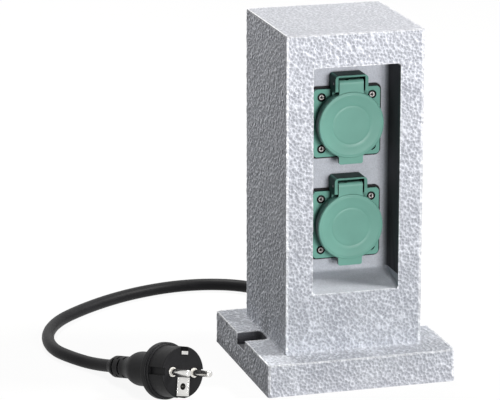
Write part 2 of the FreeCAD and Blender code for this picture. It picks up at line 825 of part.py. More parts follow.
def earth_clip(label, frame):
    """One sprung strap behind the face, with an arm in the top and bottom slots."""
    bar_back = f"({FACE_BACK} - strap_thickness)"
    outer = f"({CLIP_ARM} + strap_thickness)"
    tip = f"({bar_back} + clip_length)"
    bent = f"({tip} - clip_bend)"
    straight = f"({tip} - 2 * clip_bend)"
    inner_bend = "(recess_radius - clip_offset)"
    arm = [
        (outer, bar_back),
        (outer, straight),
        (f"{inner_bend} + strap_thickness", bent),
        (outer, tip),
        (CLIP_ARM, tip),
        (inner_bend, bent),
        (CLIP_ARM, straight),
        (CLIP_ARM, FACE_BACK),
    ]
    mirrored = [(f"-{y}", z) for y, z in reversed(arm)]
    strap = prism("YZ_Plane", arm + mirrored, "-strap_width / 2", "strap_width")
    stem = rod("sleeve_radius", ("0", "0", LUG_FRONT), f"{bar_back} - {LUG_FRONT}")
    hole = rod("centre_screw / 2 + screw_clearance", ("0", "0", bar_back), "strap_thickness")
    lug = terminal_lug()
    earth = join([stem, lug])
    place = ("0", "-earth_terminal_drop", "0")
    earth = move(earth, place)
    keep(label, join([less(strap, [hole]), earth]), *frame)


def terminal_screws(label, frame):
    """The three screws of a socket's terminals, which point down into the lugs."""
    wire_top = "(wire_radius + wire_room)"
    length = f"(lug_width / 2 - {wire_top})"
    seat = "lug_width / 2 + fit_gap"
    head = rod("terminal_head / 2", ("0", seat, "0"), "terminal_head_height", "y")
    shank = rod("terminal_screw / 2", ("0", wire_top, "0"), f"{length} + 2 * fit_gap", "y")
    slot_low = f"{seat} + terminal_head_height / 2"
    slot = box(
        ("-terminal_head", slot_low, "-screw_slot / 2"),
        ("2 * terminal_head", "terminal_head_height", "screw_slot"),
    )
    screw = less(join([head, shank]), [slot])
    places = [(x, y, f"{LUG_BACK} + wire_entry / 2") for x, y in terminals()]
    keep(label, copies(screw, places), *frame)


def socket_screws(prefix, frame):
    seat = f"({FACE} - centre_head_height)"
    screw = pan_screw(seat, "centre_head", "centre_head_height", "centre_screw", "centre_screw_length")
    keep(f"{prefix}_centre_screw", screw, *frame)
    screw = pan_screw(SEAT, "fixing_head", "fixing_head_height", "fixing_screw", "fixing_screw_length")
    places = [(x, y, "0") for x, y in corners("fixing_pitch")]
    keep(f"{prefix}_mounting_screws", copies(screw, places), *frame)


def lid(label, frame):
    """The lid: a disc with a skirt and a finger tab, and a neck that curls over the hinge."""
    disc = rod("lid_radius", ("0", "0", LID_BACK), "lid_thickness")
    skirt_low = f"{LID_BACK} - skirt_height"
    skirt = ring("lid_radius", "lid_radius - skirt_wall", skirt_low, "skirt_height + lid_thickness / 2")
    tab = box(("-tab_width / 2", "-tab_reach", LID_BACK), ("tab_width", "tab_reach", "lid_thickness"))
    neck = box(("-neck_width / 2", "0", LID_BACK), ("neck_width", "hinge_height", "lid_thickness"))
    plate = join([disc, tab, neck])

    def tab_corner(edge):
        return runs(edge, Vector(0, 0, 1)) and edge.CenterOfMass.y < -size("lid_radius")

    def inner_corner(edge):
        middle = edge.CenterOfMass
        beside = 0 < abs(middle.x) < size("lid_radius") - SAME
        return runs(edge, Vector(0, 0, 1)) and beside and abs(middle.y) < size("lid_radius") - SAME

    plate = rounded(plate, size("tab_corner"), tab_corner)
    plate = rounded(plate, size("neck_fillet"), inner_corner)
    barrel = rod("barrel_radius", ("-neck_width / 2", "hinge_height", HINGE_REACH), "neck_width", "x")
    edge_line = "lid_radius - line_inset"
    lines = [
        ring(edge_line, f"{edge_line} - line_width", f"{LID_FRONT} - line_height", "2 * line_height"),
        ring(
            "inner_ring_radius + line_width / 2",
            "inner_ring_radius - line_width / 2",
            f"{LID_FRONT} - inner_line_height",
            "2 * inner_line_height",
        ),
    ]
    room_low = "-spring_room / 2"
    curl_back = f"({HINGE_REACH} - barrel_radius - cut_margin)"
    notch = (room_low, "hinge_height - spring_notch", HINGE_REACH)
    cutters = [
        rod("pin_radius + pin_gap", ("-neck_width", "hinge_height", HINGE_REACH), "2 * neck_width", "x"),
        rod("spring_room_radius", (room_low, "hinge_height", HINGE_REACH), "spring_room", "x"),
        box(
            (room_low, "hinge_height - barrel_radius - cut_margin", curl_back),
            ("spring_room", "2 * (barrel_radius + cut_margin)", "barrel_radius + cut_margin"),
        ),
        box(notch, ("spring_room", "spring_notch", "spring_room_radius")),
        box((room_low, "hinge_height", HINGE_REACH), ("leg_slot", "barrel_radius + cut_margin", "leg_room")),
    ]
    keep(label, less(join([plate, skirt, barrel, *lines]), cutters), *frame)


def lid_seal(label, frame):
    low = f"({RIM_FRONT} + lid_seal_gap)"
    keep(label, ring("lid_seal_outer", "lid_seal_inner", low, f"{LID_BACK} - {low}"), *frame)


def hinge_pin(label, height):
    """The steel pin of the hinge, with bevelled ends that stand just proud of the cheeks."""
    half = "(hood_width / 2 + pin_end)"
    points = [
        ("0", f"-{half}"),
        ("pin_radius - pin_end", f"-{half}"),
        ("pin_radius", f"-{half} + pin_end"),
        ("pin_radius", f"{half} - pin_end"),
        ("pin_radius - pin_end", half),
        ("0", half),
    ]
    place = ("niche_offset", f"{PANEL} - {HINGE_REACH}", f"{height} + hinge_height")
    keep(label, turned(points), ALONG["x"], place)


def coil_edges(radius, pitch, start, end):
    """A coil about the X axis with its middle at the origin, as pairs of arcs for each quarter turn."""
    rise = pitch / (2 * math.pi)
    middle = (start + end) / 2

    def place(turn):
        return Vector(rise * (turn - middle), -radius * math.cos(turn), -radius * math.sin(turn))

    def heading(turn):
        return Vector(rise, radius * math.sin(turn), -radius * math.cos(turn)).normalize()

    steps = round((end - start) / (math.pi / 2))
    edges = []
    for step in range(steps):
        first = start + (end - start) * step / steps
        second = start + (end - start) * (step + 1) / steps
        here, there = place(first), place(second)
        out, into = heading(first), heading(second)
        chord = there - here
        along = chord.dot(out + into)
        spread = 2 * (1 - out.dot(into))
        reach = (math.sqrt(along ** 2 + spread * chord.dot(chord)) - along) / spread
        near = here + out * reach
        far = there - into * reach
        meeting = (near + far) * 0.5
        edges.append(bend(here, near, meeting))
        edges.append(bend(meeting, far, there))
    return edges, place(start), heading(start), place(end), heading(end)


def lid_spring(label, place):
    """The coil spring round the hinge pin, which presses the lid shut."""
    wire = size("spring_wire")
    start = math.radians(BACK_LEG_TURN)
    end = math.radians(FRONT_LEG_TURN) + 2 * math.pi * size("spring_turns")
    pitch = size("spring_length") * 2 * math.pi / (end - start)
    print(f"lid spring: least gap between turns {pitch - wire:.2f} mm")
    edges, low, low_heading, high, high_heading = coil_edges(size("spring_radius"), pitch, start, end)
    hinge_reach = sum(size(name) for name in ("collar_height", "rim_height", "lid_gap", "lid_thickness"))
    hinge_reach -= size("barrel_radius")
    back_leg = (hinge_reach + low.z - wire / 2 - size("fit_gap")) / abs(low_heading.z)
    front_leg = size("spring_notch") - size("spring_radius") / 2
    edges.insert(0, Part.LineSegment(low - low_heading * back_leg, low).toShape())
    edges.append(Part.LineSegment(high, high + high_heading * front_leg).toShape())
    keep_shape(label, tube(Part.Wire(edges), wire / 2), FACING_FRONT, place)


def socket(prefix, height):
    """All pieces of one socket, drawn with the panel as the floor of their own frame."""
    frame = (FACING_FRONT, ("niche_offset", PANEL, height))
    socket_body(f"{prefix}_socket_body", frame)
    flange_gasket(f"{prefix}_flange_gasket", frame)
    rear_base(f"{prefix}_rear_base", frame)
    pin_contact(f"{prefix}_line_contact", frame, "-pin_spacing / 2")
    pin_contact(f"{prefix}_neutral_contact", frame, "pin_spacing / 2")
    earth_clip(f"{prefix}_earth_clip", frame)
    terminal_screws(f"{prefix}_terminal_screws", frame)
    socket_screws(prefix, frame)
    lid(f"{prefix}_lid", frame)
    lid_seal(f"{prefix}_lid_seal", frame)
    hinge_pin(f"{prefix}_hinge_pin", height)
    heights = {"upper": size("lower_socket") + size("socket_spacing"), "lower": size("lower_socket")}
    hinge = Vector(size("niche_offset"), hinge_y(), heights[prefix] + size("hinge_height"))
    lid_spring(f"{prefix}_lid_spring", hinge)


def panel_y():
    return size("column_setback") - size("column_depth") / 2 + size("niche_depth")


def hinge_y():
    to_rim = ("gasket_thickness", "flange_thickness", "collar_height", "rim_height")
    layers = (*to_rim, "lid_gap", "lid_thickness")
    return panel_y() - sum(size(name) for name in layers) + size("barrel_radius")


def strain_relief():
    """The rubber sleeve at the cord's way out, ringed and tapered."""
    bore = "(cord_radius + relief_fit)"
    neck_end = f"({PLATE_BACK} - {CAVITY_BACK})"
    flange_end = f"({neck_end} + relief_flange_thickness)"
    tip = f"({flange_end} + relief_length)"
    points = [
        (bore, "0"),
        ("relief_neck / 2", "0"),
        ("relief_neck / 2", neck_end),
        ("relief_flange / 2", neck_end),
        ("relief_flange / 2", flange_end),
        ("relief_thick / 2", flange_end),
    ]
    rings = round(size("relief_rings"))
    for number in range(rings):
        share = f"({number + 0.5} / {rings})"
        middle = f"({flange_end} + relief_length * {share})"
        radius = f"(relief_thick / 2 + (relief_thin - relief_thick) / 2 * {share})"
        low = f"{middle} - relief_ring_width / 2"
        high = f"{middle} + relief_ring_width / 2"
        points.append((radius, low))
        points.append((f"{radius} - relief_ring_depth", low))
        points.append((f"{radius} - relief_ring_depth", high))
        points.append((radius, high))
    points.append(("relief_thin / 2", tip))
    points.append((bore, tip))
    keep("strain_relief", turned(points), FACING_BACK, ("0", CAVITY_BACK, "cord_height"))


def relief_end():
    return size("plate_depth") / 2 + size("relief_flange_thickness") + size("relief_length")


def cavity_back():
    return size("column_setback") + size("column_depth") / 2 - size("housing_wall")


def cable_clamp():
    bar = middle_box(("0", "0"), CLAMP_FLOOR, "clamp_length", "clamp_width", "clamp_thickness")
    sides = [f"{side} * clamp_screw_pitch / 2" for side in (-1, 1)]
    through = f"{CLAMP_FLOOR} + 2 * clamp_thickness"
    holes = [rod("clamp_screw / 2 + screw_clearance", (x, "0", "0"), through) for x in sides]
    keep("cable_clamp", less(bar, holes), place=("0", CLAMP_Y, "0"))
    seat = f"({CLAMP_FLOOR} + clamp_thickness)"
    screw = pan_screw(seat, "clamp_screw_head", "clamp_head_height", "clamp_screw", f"{seat} - rebate_depth")
    screws = copies(screw, [(x, "0", "0") for x in sides])
    keep("cable_clamp_screws", screws, place=("0", CLAMP_Y, "0"))


def cord_tail():
    """The end of the cord inside the strain relief and the column."""
    tail_start = f"({CAVITY_BACK} - tail_inside)"
    tail_end = f"({PLATE_BACK} + relief_flange_thickness + relief_length)"
    tail = rod("cord_radius", ("0", tail_start, "cord_height"), f"{tail_end} - {tail_start}", "y")
    keep("cord_tail", tail)


def terminal_block():
    """The block on the rear wall where the cord's cores meet the sockets' leads."""
    low = ("-block_width / 2", BLOCK_FRONT, "block_floor")
    block = box(low, ("block_width", "block_depth", "block_height"))
    holes = []
    screws = []
    for pole in POLES.values():
        pole_x = f"{pole} * pole_pitch"
        holes.append(rod("wire_radius + wire_room", (pole_x, BLOCK_WIRE_Y, "block_floor"), "wire_entry"))
        for side in (-1, 1):
            place = (f"{pole_x} + {side} * wire_pitch / 2", BLOCK_WIRE_Y, f"{BLOCK_TOP} - wire_entry")
            holes.append(rod("wire_radius + wire_room", place, "wire_entry"))
        for height in ("block_floor + wire_entry / 2", f"{BLOCK_TOP} - wire_entry / 2"):
            place = (pole_x, BLOCK_FRONT, height)
            holes.append(rod("terminal_screw / 2 + pilot_clearance", place, "wire_entry", "y"))
            screws.append(place)
    keep("terminal_block", less(block, holes))
    head_start = ("0", "-terminal_head_height - fit_gap", "0")
    head = rod("terminal_head / 2", head_start, "terminal_head_height", "y")
    shank = rod("terminal_screw / 2", ("0", "-2 * fit_gap", "0"), "wire_entry", "y")
    slot = box(
        ("-terminal_head", "-2 * terminal_head_height", "-screw_slot / 2"),
        ("2 * terminal_head", "1.5 * terminal_head_height - fit_gap", "screw_slot"),
    )
    keep("terminal_block_screws", copies(less(join([head, shank]), [slot]), screws))


def socket_lead(pole, side, terminal, height):
    """A lead's path from the top of the block to one terminal of a socket."""
    x = pole * size("pole_pitch") + side * size("wire_pitch") / 2
    y = cavity_back() - size("block_depth") / 2
    top = size("block_floor") + size("block_height")
    layers = ("gasket_thickness", "flange_thickness", "collar_height", "rim_height")
    face_back = sum(size(name) for name in layers) - size("recess_depth") - size("face_thickness")
    lug_back = panel_y() - face_back + size("sleeve_length") + size("lug_depth")
    end = Vector(size("niche_offset") + terminal[0], lug_back - size("wire_entry"), height + terminal[1])
    swing = (y - lug_back) / 2
    rise = end.z - swing - top
    points = [Vector(x, y, top - size("wire_entry"))]
    spans = max(1, math.ceil(rise / size("lead_run")))
    sway = size("lead_sway")
    for number in range(1, spans):
        sway = -sway
        points.append(Vector(x + sway / 2, y + sway, top + rise * number / spans))
    points.append(Vector(x, y, top + rise))
    points.append(Vector((x + end.x) / 2, y - swing * LEAD_BEND, end.z - swing * (1 - LEAD_BEND)))
    points.append(Vector(end.x, lug_back + swing / 2, end.z))
    points.append(end)
    return points


def cord_core(pole, start_x, start_z):
    """A core's path from the cord's end up to the underside of the block."""
    y = cavity_back() - size("tail_inside")
    block_y = cavity_back() - size("block_depth") / 2
    floor = size("block_floor")
    height = size("cord_height") + start_z
    x = pole * size("pole_pitch")
    reach = size("core_reach")
    rise = floor - height
    points = [Vector(start_x, y, height)]
    for across, forward, upward in CORE_STEPS:
        points.append(Vector(start_x + (x - start_x) * across, y - reach * forward, height + rise * upward))
    points.append(Vector(x, block_y, floor - size("wire_entry")))
    points.append(Vector(x, block_y, floor + size("wire_entry")))
    return points


def leads():
    half = size("pin_spacing") / 2
    terminal = {"line": (-half, 0), "neutral": (half, 0), "earth": (0, -size("earth_terminal_drop"))}
    heights = {"upper": size("lower_socket") + size("socket_spacing"), "lower": size("lower_socket")}
    spread = size("core_spread")
    core_places = {"line": (-spread, 0), "neutral": (spread, 0), "earth": (0, spread)}
    for name, pole in POLES.items():
        for prefix, height in heights.items():
            side = 1 if (prefix == "lower") == (pole <= 0) else -1
            path = route(socket_lead(pole, side, terminal[name], height))
            keep_shape(f"{prefix}_{name}_lead", tube(path, size("wire_radius")))
        path = route(cord_core(pole, *core_places[name]))
        keep_shape(f"{name}_core", tube(path, size("wire_radius")))


def circle_at(edge, radius, height):
    """Whether an edge is a whole circle of this radius at this height."""
    round_edge = edge.Curve.TypeId == "Part::GeomCircle"
    return round_edge and at_height(edge, height) and math.isclose(edge.Curve.Radius, radius, abs_tol=SAME)


def plug_body(frame):
    """The moulded plug: front, step, collar, neck and slotted boot, one behind the other."""
    step_back = "(plug_front_length + plug_step_length)"
    points = [
        ("0", "0"),
        ("plug_front_radius", "0"),
        ("plug_front_radius", "-plug_front_length"),
        ("plug_step_radius", "-plug_front_length"),
        ("plug_step_radius", f"-{step_back}"),
        ("plug_collar_radius", f"-{step_back}"),
        ("plug_collar_radius", f"-{PLUG_COLLAR_BACK}"),
        ("plug_neck_radius", f"-{PLUG_COLLAR_BACK}"),
        ("plug_neck_radius", "-plug_neck_end"),
        ("boot_radius", "-plug_shoulder_end"),
        ("boot_radius", "-boot_taper_start"),
        ("boot_end_radius", "-boot_end"),
        ("0", "-boot_end"),
    ]
    step = -size("plug_front_length") - size("plug_step_length")
    collar = step - size("plug_collar_length")
    small_rounds = [
        (size("plug_front_radius"), 0),
        (size("plug_step_radius"), -size("plug_front_length")),
        (size("plug_collar_radius"), step),
        (size("plug_collar_radius"), collar),
        (size("plug_neck_radius"), collar),
        (size("boot_end_radius"), -size("boot_end")),
    ]
    wide_rounds = [
        (size("plug_neck_radius"), -size("plug_neck_end")),
        (size("boot_radius"), -size("plug_shoulder_end")),
    ]
    body = turned(points)
    for radius, places in (("plug_shoulder_round", wide_rounds), ("plug_round", small_rounds)):
        body = rounded(body, size(radius), lambda edge: any(circle_at(edge, *place) for place in places))
    cutters = [
        rod("earth_hole_radius", ("0", "-earth_hole_drop", "-earth_hole_depth"), "earth_hole_depth"),
        *bridge_solids(),
        *contact_solids(),
        *pin_roots(),
    ]
    length = "plug_front_length + cut_margin"
    for side in (-1, 1):
        groove_x = "(plug_front_radius - guide_depth / 2)"
        groove = middle_box(
            (f"{side} * {groove_x}", "0"),
            "-plug_front_length",
            "guide_depth",
            "guide_width",
            length,
        )
        notch_depth = "(plug_front_radius - notch_floor)"
        notch_y = f"{side} * (notch_floor + {notch_depth} / 2)"
        notch = middle_box(("0", notch_y), "-plug_front_length", "notch_width", notch_depth, length)
        cutters.extend([groove, notch])
    for number in range(round(size("boot_slots"))):
        low = f"-plug_shoulder_end - boot_slot_pitch * {number + 1} - boot_slot_width / 2"
        for side in (-1, 1):
            across = f"{side} * boot_radius"
            middle = (across, "0") if number % 2 else ("0", across)
            span = ("2 * boot_slot_depth", "2 * boot_radius")
            width, depth = span if number % 2 else reversed(span)
            cutters.append(middle_box(middle, low, width, depth, "boot_slot_width"))
    keep("plug_body", less(body, cutters), *frame)


def pin_roots():
    """The thinner roots of the pins, which the plug is moulded round."""
    places = [(f"{side} * pin_spacing / 2", "0", "-plug_pin_root") for side in (-1, 1)]
    return [rod("plug_pin_root_radius", place, "plug_pin_root + ring_height") for place in places]


def bridge_solids():
    """The pale insert: a bar inside the plug and a raised ring round each pin."""
    width = "pin_spacing + 2 * ring_radius"
    bar = middle_box(("0", "0"), "-bridge_back", width, "2 * ring_radius", "bridge_thickness")
    rings = []
    for side in (-1, 1):
        place = (f"{side} * pin_spacing / 2", "0", "-bridge_back")
        rings.append(rod("ring_radius", place, "bridge_back + ring_height"))
    return [bar, *rings]


def contact_solids():
    """The earth contact: a plate on the face, strips in the notches and a bar that joins them."""
    plate_height = "(contact_bottom - contact_top)"
    middle_y = "-(contact_bottom + contact_top) / 2"
    full = "contact_thickness + contact_edge"
    plate = middle_box(("0", middle_y), "0", "contact_width", plate_height, full)
    pocket = middle_box(
        ("0", middle_y),
        "contact_thickness",
        "contact_width - 4 * contact_edge",
        f"{plate_height} - 4 * contact_edge",
        "contact_thickness",
    )
    plate = less(plate, [pocket])
    strips = []
    for side in (-1, 1):
        place = ("0", f"{side} * (notch_floor + contact_thickness / 2)")
        span = ("earth_strip_width", "contact_thickness", "earth_strip_back + contact_thickness")
        strips.append(middle_box(place, "-earth_strip_back", *span))
    tab_depth = "(2 * contact_thickness + contact_edge * 2)"
    tab = middle_box(
        ("0", f"notch_floor + contact_thickness - {tab_depth} / 2"),
        "0",
        "earth_strip_width",
        tab_depth,
        "contact_thickness",
    )
    bar_span = "2 * notch_floor + contact_thickness"
    bar = middle_box(("0", "0"), "-earth_strip_back", "earth_strip_width", bar_span, "contact_thickness")
    sleeve_start = ("0", "-earth_hole_drop", "-earth_strip_back")
    sleeve = rod("earth_hole_radius + contact_thickness", sleeve_start, "earth_strip_back + fit_gap")
    return [plate, tab, bar, sleeve, *strips]


def plug():
    yaw, pitch, roll = (size(name) for name in ("plug_heading", "plug_tilt", "plug_roll"))
    to_pins = Rotation(Vector(1, 1, 1), 120)
    turn = Rotation(yaw, -pitch, roll).multiply(to_pins)
    slope = "plug_tilt * 1 deg"
    behind_face = f"({PLUG_COLLAR_BACK} - plug_round) * sin({slope})"
    above_floor = f"(plug_collar_radius - plug_round) * cos({slope}) + plug_round"
    frame = (turn, ("plug_x", "plug_y", f"{behind_face} + {above_floor}"))
    plug_body(frame)
    keep("plug_bridge", less(join(bridge_solids()), pin_roots()), *frame)
    pin = rod("plug_pin_radius", ("0", "0", "ring_height"), "plug_pin_length - ring_height")
    pin = rounded(pin, size("plug_pin_tip"), lambda edge: at_height(edge, size("plug_pin_length")))
    root = rod("plug_pin_root_radius", ("0", "0", "-plug_pin_root"), "plug_pin_root + 2 * ring_height")
    pins = [(f"{side} * pin_spacing / 2", "0", "0") for side in (-1, 1)]
    keep("plug_pins", copies(join([pin, root]), pins), *frame)
    bore = rod("earth_hole_radius", ("0", "-earth_hole_drop", "-earth_hole_depth"), "2 * earth_hole_depth")
    keep("plug_earth_contact", less(join(contact_solids()), [bore]), *frame)


def cord():
    """The free cord, from the strain relief round the floor to the plug's boot."""
    exit_point = Vector(0, relief_end(), size("cord_height"))
    plug_place = pieces["plug_body"].Placement
    boot_end = plug_place.multVec(Vector(0, 0, -size("boot_end")))
    boot_way = plug_place.Rotation.multVec(Vector(0, 0, -1))
    points = [exit_point]
    points.extend(Vector(*point) for point in CORD_POINTS)
    points.append(boot_end + boot_way * size("boot_lead"))
    points.append(boot_end)
    path = route(points)
    radii = [round(edge.Curve.Radius) for edge in path.Edges if edge.Curve.TypeId == "Part::GeomCircle"]
    print("cord bend radii", radii, "length", round(path.Length))
    keep_shape("cord", tube(path, size("cord_radius")))


POLES = {"line": -1, "earth": 0, "neutral": 1}
# Where a lead turns to its terminal, as a share of its swing
LEAD_BEND = 0.75
# How far a core has gone across, forward and up at each of its first points, as shares of the whole
CORE_STEPS = [(0, 0.7, 0), (1 / 3, 1, 0.25), (1, 0.5, 0.55)]
PLUG_COLLAR_BACK = "(plug_front_length + plug_step_length + plug_collar_length)"
CORD_POINTS = [
    (0, 119, 13),
    (1, 140, 8.5),
    (-1, 163, 5.5),
    (-14, 186.5, 4.75),
    (-38, 199, 4.75),
    (-66, 201.5, 4.75),
    (-95, 195, 4.75),
    (-124, 181.5, 4.75),
    (-153, 161, 4.75),
    (-179, 136, 4.75),
    (-194.5, 103, 4.75),
    (-197, 69, 4.75),
    (-187, 45, 4.75),
]

stone_housing()
bottom_cover()
for prefix, height in (("upper", "(lower_socket + socket_spacing)"), ("lower", "lower_socket")):
    socket(prefix, height)
strain_relief()
cable_clamp()
cord_tail()
terminal_block()
leads()
plug()
doc.recompute()
cord()
doc.recompute()

for thing in doc.Objects:
    if {"Invalid", "Error"} & set(thing.State):
        raise RuntimeError(f"{thing.Label}: {thing.State}")
os.makedirs("parts", exist_ok=True)
for label, piece in pieces.items():
    if piece.Shape.isNull() or not piece.Shape.isValid() or not piece.Shape.Solids:
        raise RuntimeError(f"{label} has no valid shape")
    piece.Shape.exportStep(f"parts/{label}.step")
print(len(pieces), "pieces")
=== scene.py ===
import json
import math
from functools import reduce

import bmesh
import bpy
import numpy as np
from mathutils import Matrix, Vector


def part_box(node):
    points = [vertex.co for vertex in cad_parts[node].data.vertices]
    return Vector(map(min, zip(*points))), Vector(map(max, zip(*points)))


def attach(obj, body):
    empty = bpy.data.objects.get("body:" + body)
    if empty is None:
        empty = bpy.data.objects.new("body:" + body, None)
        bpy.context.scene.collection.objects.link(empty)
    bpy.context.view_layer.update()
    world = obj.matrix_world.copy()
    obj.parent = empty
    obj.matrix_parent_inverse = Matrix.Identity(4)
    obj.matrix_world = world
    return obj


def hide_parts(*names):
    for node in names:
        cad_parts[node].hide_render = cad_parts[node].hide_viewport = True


# Looks of the garden socket: a cast stone column with two green sockets under lids, a black
# supply cord and its moulded plug. Lengths are metres, in the frame of the CAD model.
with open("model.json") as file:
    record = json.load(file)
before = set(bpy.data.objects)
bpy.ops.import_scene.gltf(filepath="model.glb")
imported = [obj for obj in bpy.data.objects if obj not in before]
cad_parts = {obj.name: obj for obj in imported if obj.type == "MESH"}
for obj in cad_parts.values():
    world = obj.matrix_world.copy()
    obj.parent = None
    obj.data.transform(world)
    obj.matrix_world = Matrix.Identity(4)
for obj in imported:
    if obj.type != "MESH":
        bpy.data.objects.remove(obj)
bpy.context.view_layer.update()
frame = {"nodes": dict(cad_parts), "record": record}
NODES = frame["nodes"]
MM = 0.001
HALF = (0.5, 0.5, 0.5)

# Camera, as the photograph was taken
CAMERA_AZIMUTH = -16.16
CAMERA_ELEVATION = 15.2
CAMERA_TARGET = (-0.06312, 0.003, 0.12714)
CAMERA_DISTANCE = 2.218
CAMERA_SENSOR = 36
CAMERA_LENS = 220.14
CAMERA_NEAREST = 0.1
CAMERA_FARTHEST = 20

# Supply cord: its thickness, its way from the strain relief round the floor to the plug, and how finely
# it is drawn
CORD_DIAMETER = 0.0093
CORD_POINTS = [
    (0, 0.0995, 0.013),
    (0, 0.119, 0.013),
    (0.001, 0.140, 0.0085),
    (-0.001, 0.163, 0.0055),
    (-0.014, 0.1865, 0.00475),
    (-0.038, 0.199, 0.00475),
    (-0.066, 0.2015, 0.00475),
    (-0.095, 0.195, 0.00475),
    (-0.124, 0.1815, 0.00475),
    (-0.153, 0.161, 0.00475),
    (-0.179, 0.136, 0.00475),
    (-0.1945, 0.103, 0.00475),
    (-0.197, 0.069, 0.00475),
    (-0.187, 0.045, 0.00475),
    (-0.17444, 0.02594, 0.00454),
    (-0.166415, 0.00803, 0.008375),
]
CORD_STEPS = 16
CORD_ROUNDNESS = 8

# Stone: the casting's outer faces, its niche and its side slots
COLUMN_HALF = 0.05125
COLUMN_MIDDLE = 0.003
COLUMN_FRONT = COLUMN_MIDDLE - COLUMN_HALF
COLUMN_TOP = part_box("stone_housing")[1].z
PLATE_HALF_WIDTH = 0.0705
PLATE_HALF_DEPTH = 0.0695
PLATE_TOP = 0.024
NICHE_LEFT = -0.031
NICHE_RIGHT = 0.0336
NICHE_LOW = 0.0674
NICHE_TOP = 0.2335
SLOT_HALF = 0.0115
SLOT_FLOOR = 0.0153

# The casting's flat faces, by axis
FACES = [
    (-PLATE_HALF_WIDTH, -COLUMN_HALF, NICHE_LEFT, NICHE_RIGHT, COLUMN_HALF, PLATE_HALF_WIDTH),
    (-PLATE_HALF_DEPTH, COLUMN_FRONT, COLUMN_MIDDLE + COLUMN_HALF, PLATE_HALF_DEPTH),
    (SLOT_FLOOR, PLATE_TOP, NICHE_LOW, NICHE_TOP, COLUMN_TOP),
]

# Stone mesh: how fine it is, how far its corners are pulled out, and which edges look sharp
VOXEL = 0.00095
SNAP_REACH = VOXEL * 0.6
WELD_GAP = 0.000001
STONE_FACES = 190000
SHARP_ANGLE = 50

# Pits: their size, the drift that makes them uneven, the bowl's form, the heights above the floor
# over which they begin, the share of their depth that is left on the column's top, and how far
# under the outer faces the mesh still counts as outside
PIT_PITCH = 0.0022
PIT_DEPTH = 0.00035
PIT_DRIFT = PIT_PITCH * 0.7
PIT_DRIFT_SCALE = 330
PIT_BOWL = (0.05, 0.9)
PIT_HOLLOWNESS = 1.6
PITS_BEGIN = (0.0004, 0.002)
PITS_ON_TOP = 0.55
SKIN = 0.0025

# Borders on the stone: how soft they are, how far the plain finish of the niche and the slots
# spills over its corners, a place behind the niche, how wide the rubbed edges are, and a limit
# farther out than any face
SOFT_BORDER = 0.0002
NICHE_SPILL = 0.0005
NICHE_LIP = 0.0006
NICHE_BEHIND = 0
SLOT_SPILL = 0.0007
EDGE_WIDTH = 0.0014
UPRIGHT_EDGE_SIDE = EDGE_WIDTH * 1.4
UPRIGHT_EDGE_FRONT = EDGE_WIDTH * 0.8
COLUMN_EDGES_START = PLATE_TOP + 0.002
PLATE_EDGES_START = 0.003
RIM_INSIDE = 0.0007
RIM_OUTSIDE = 0.001
FAR = 1

# Where no light falls: a strip of the niche beside its right wall, from a height above its floor,
# and most of the slots
DARK_STRIP = 0.003
DARK_ABOVE_FLOOR = 0.01
DARK_SLOTS = 0.85

# Stone paint: from the bottom of a pit to its ridge where the brush passed lightly and fully, in the
# niche and along rubbed edges, the tones that the rest is multiplied with, among them painted light by
# height that is darkest a little above the plate and paler up the column, and how rough, glossy and bumpy
# it is
PIT_BOTTOM = (0.45, 0.46, 0.50)
LIGHTLY_BRUSHED = [(0.0, PIT_BOTTOM), (0.5, (0.56, 0.57, 0.61)), (0.9, (0.79, 0.80, 0.84))]
FULLY_BRUSHED = [(0.0, PIT_BOTTOM), (0.3, (0.61, 0.62, 0.66)), (0.7, (0.82, 0.83, 0.87))]
BRUSHING_BY_HEIGHT = (-0.06, 0.12)
EVEN_PATCHES = (0.66, 0.67, 0.70)
EVEN_PATCHES_MOST = 0.5
NICHE_GREYS = [(0.3, (0.51, 0.52, 0.55)), (0.7, (0.61, 0.62, 0.65))]
UNLIT_GREY = (0.045, 0.045, 0.05)
RUBBED_WHITE = (0.97, 0.97, 0.98)
SCUFFS_LEAST = 0.4
SPECKLE = [(0.3, (0.88, 0.88, 0.88)), (0.7, (1.08, 1.08, 1.08))]
PAINTED_LIGHT_BY_HEIGHT = [(0.0, (0.93, 0.94, 0.97)), (0.12, (0.77, 0.79, 0.82)), (1.0, (1.0, 1.01, 1.05))]
PAINTED_LIGHT_HEIGHT = 0.26
TOP_TONE = 0.75
STONE_ROUGHNESS = (0.65, 0.9)
STONE_GLOSS = 0.3
STONE_RELIEF = 0.0006
FINE_RELIEF_SHARE = 0.3

# Spans of a noise over which one finish turns into another
BRUSH_FADE = (0.35, 0.6)
PATCH_FADE = (0.45, 0.75)
SCUFF_FADE = (0.35, 0.55)

# Spans of painted shade: over which gaps and corners turn light, by the open sky that they see, and
# over which left and top sides turn dark, by the slant of their normal
CREVICE_SHADE_FADE = (0.1, 0.75)
LEFT_SHADE_FADE = (-0.9, -0.4)
UPWARD_SHADE_FADE = (0.93, 0.99)

# Plastic, rubber and metal: rounding of their edges in the shading, and unevenness of their gloss
MOULDED_EDGE = 0.0003
METAL_EDGE = 0.00015
GLOSS_WEAR = 0.08
SCRATCH_WEAR = 0.1

# Sockets: the start of their nodes' names, their green, and where the painted shade on the hood
# starts as a share of the body's height
SOCKETS = ("upper", "lower")
GREEN = (0.165, 0.375, 0.31)
HOOD_SHADE_START = 0.8
HOOD_SHADE_BORDER = 0.08

# Mounting screws: their pitch, the width that the four heads span, the place of each screw as a share
# of it from the middle, and the reach and grey of the painted shade round each head's painted highlight
SCREW_PITCH = 0.038
SCREW_SPREAD = 0.0434
SCREW_SPOT = SCREW_PITCH / 2 / SCREW_SPREAD
SCREW_REACH = 0.003
SCREW_SHADE = (0.02, 0.02, 0.02)

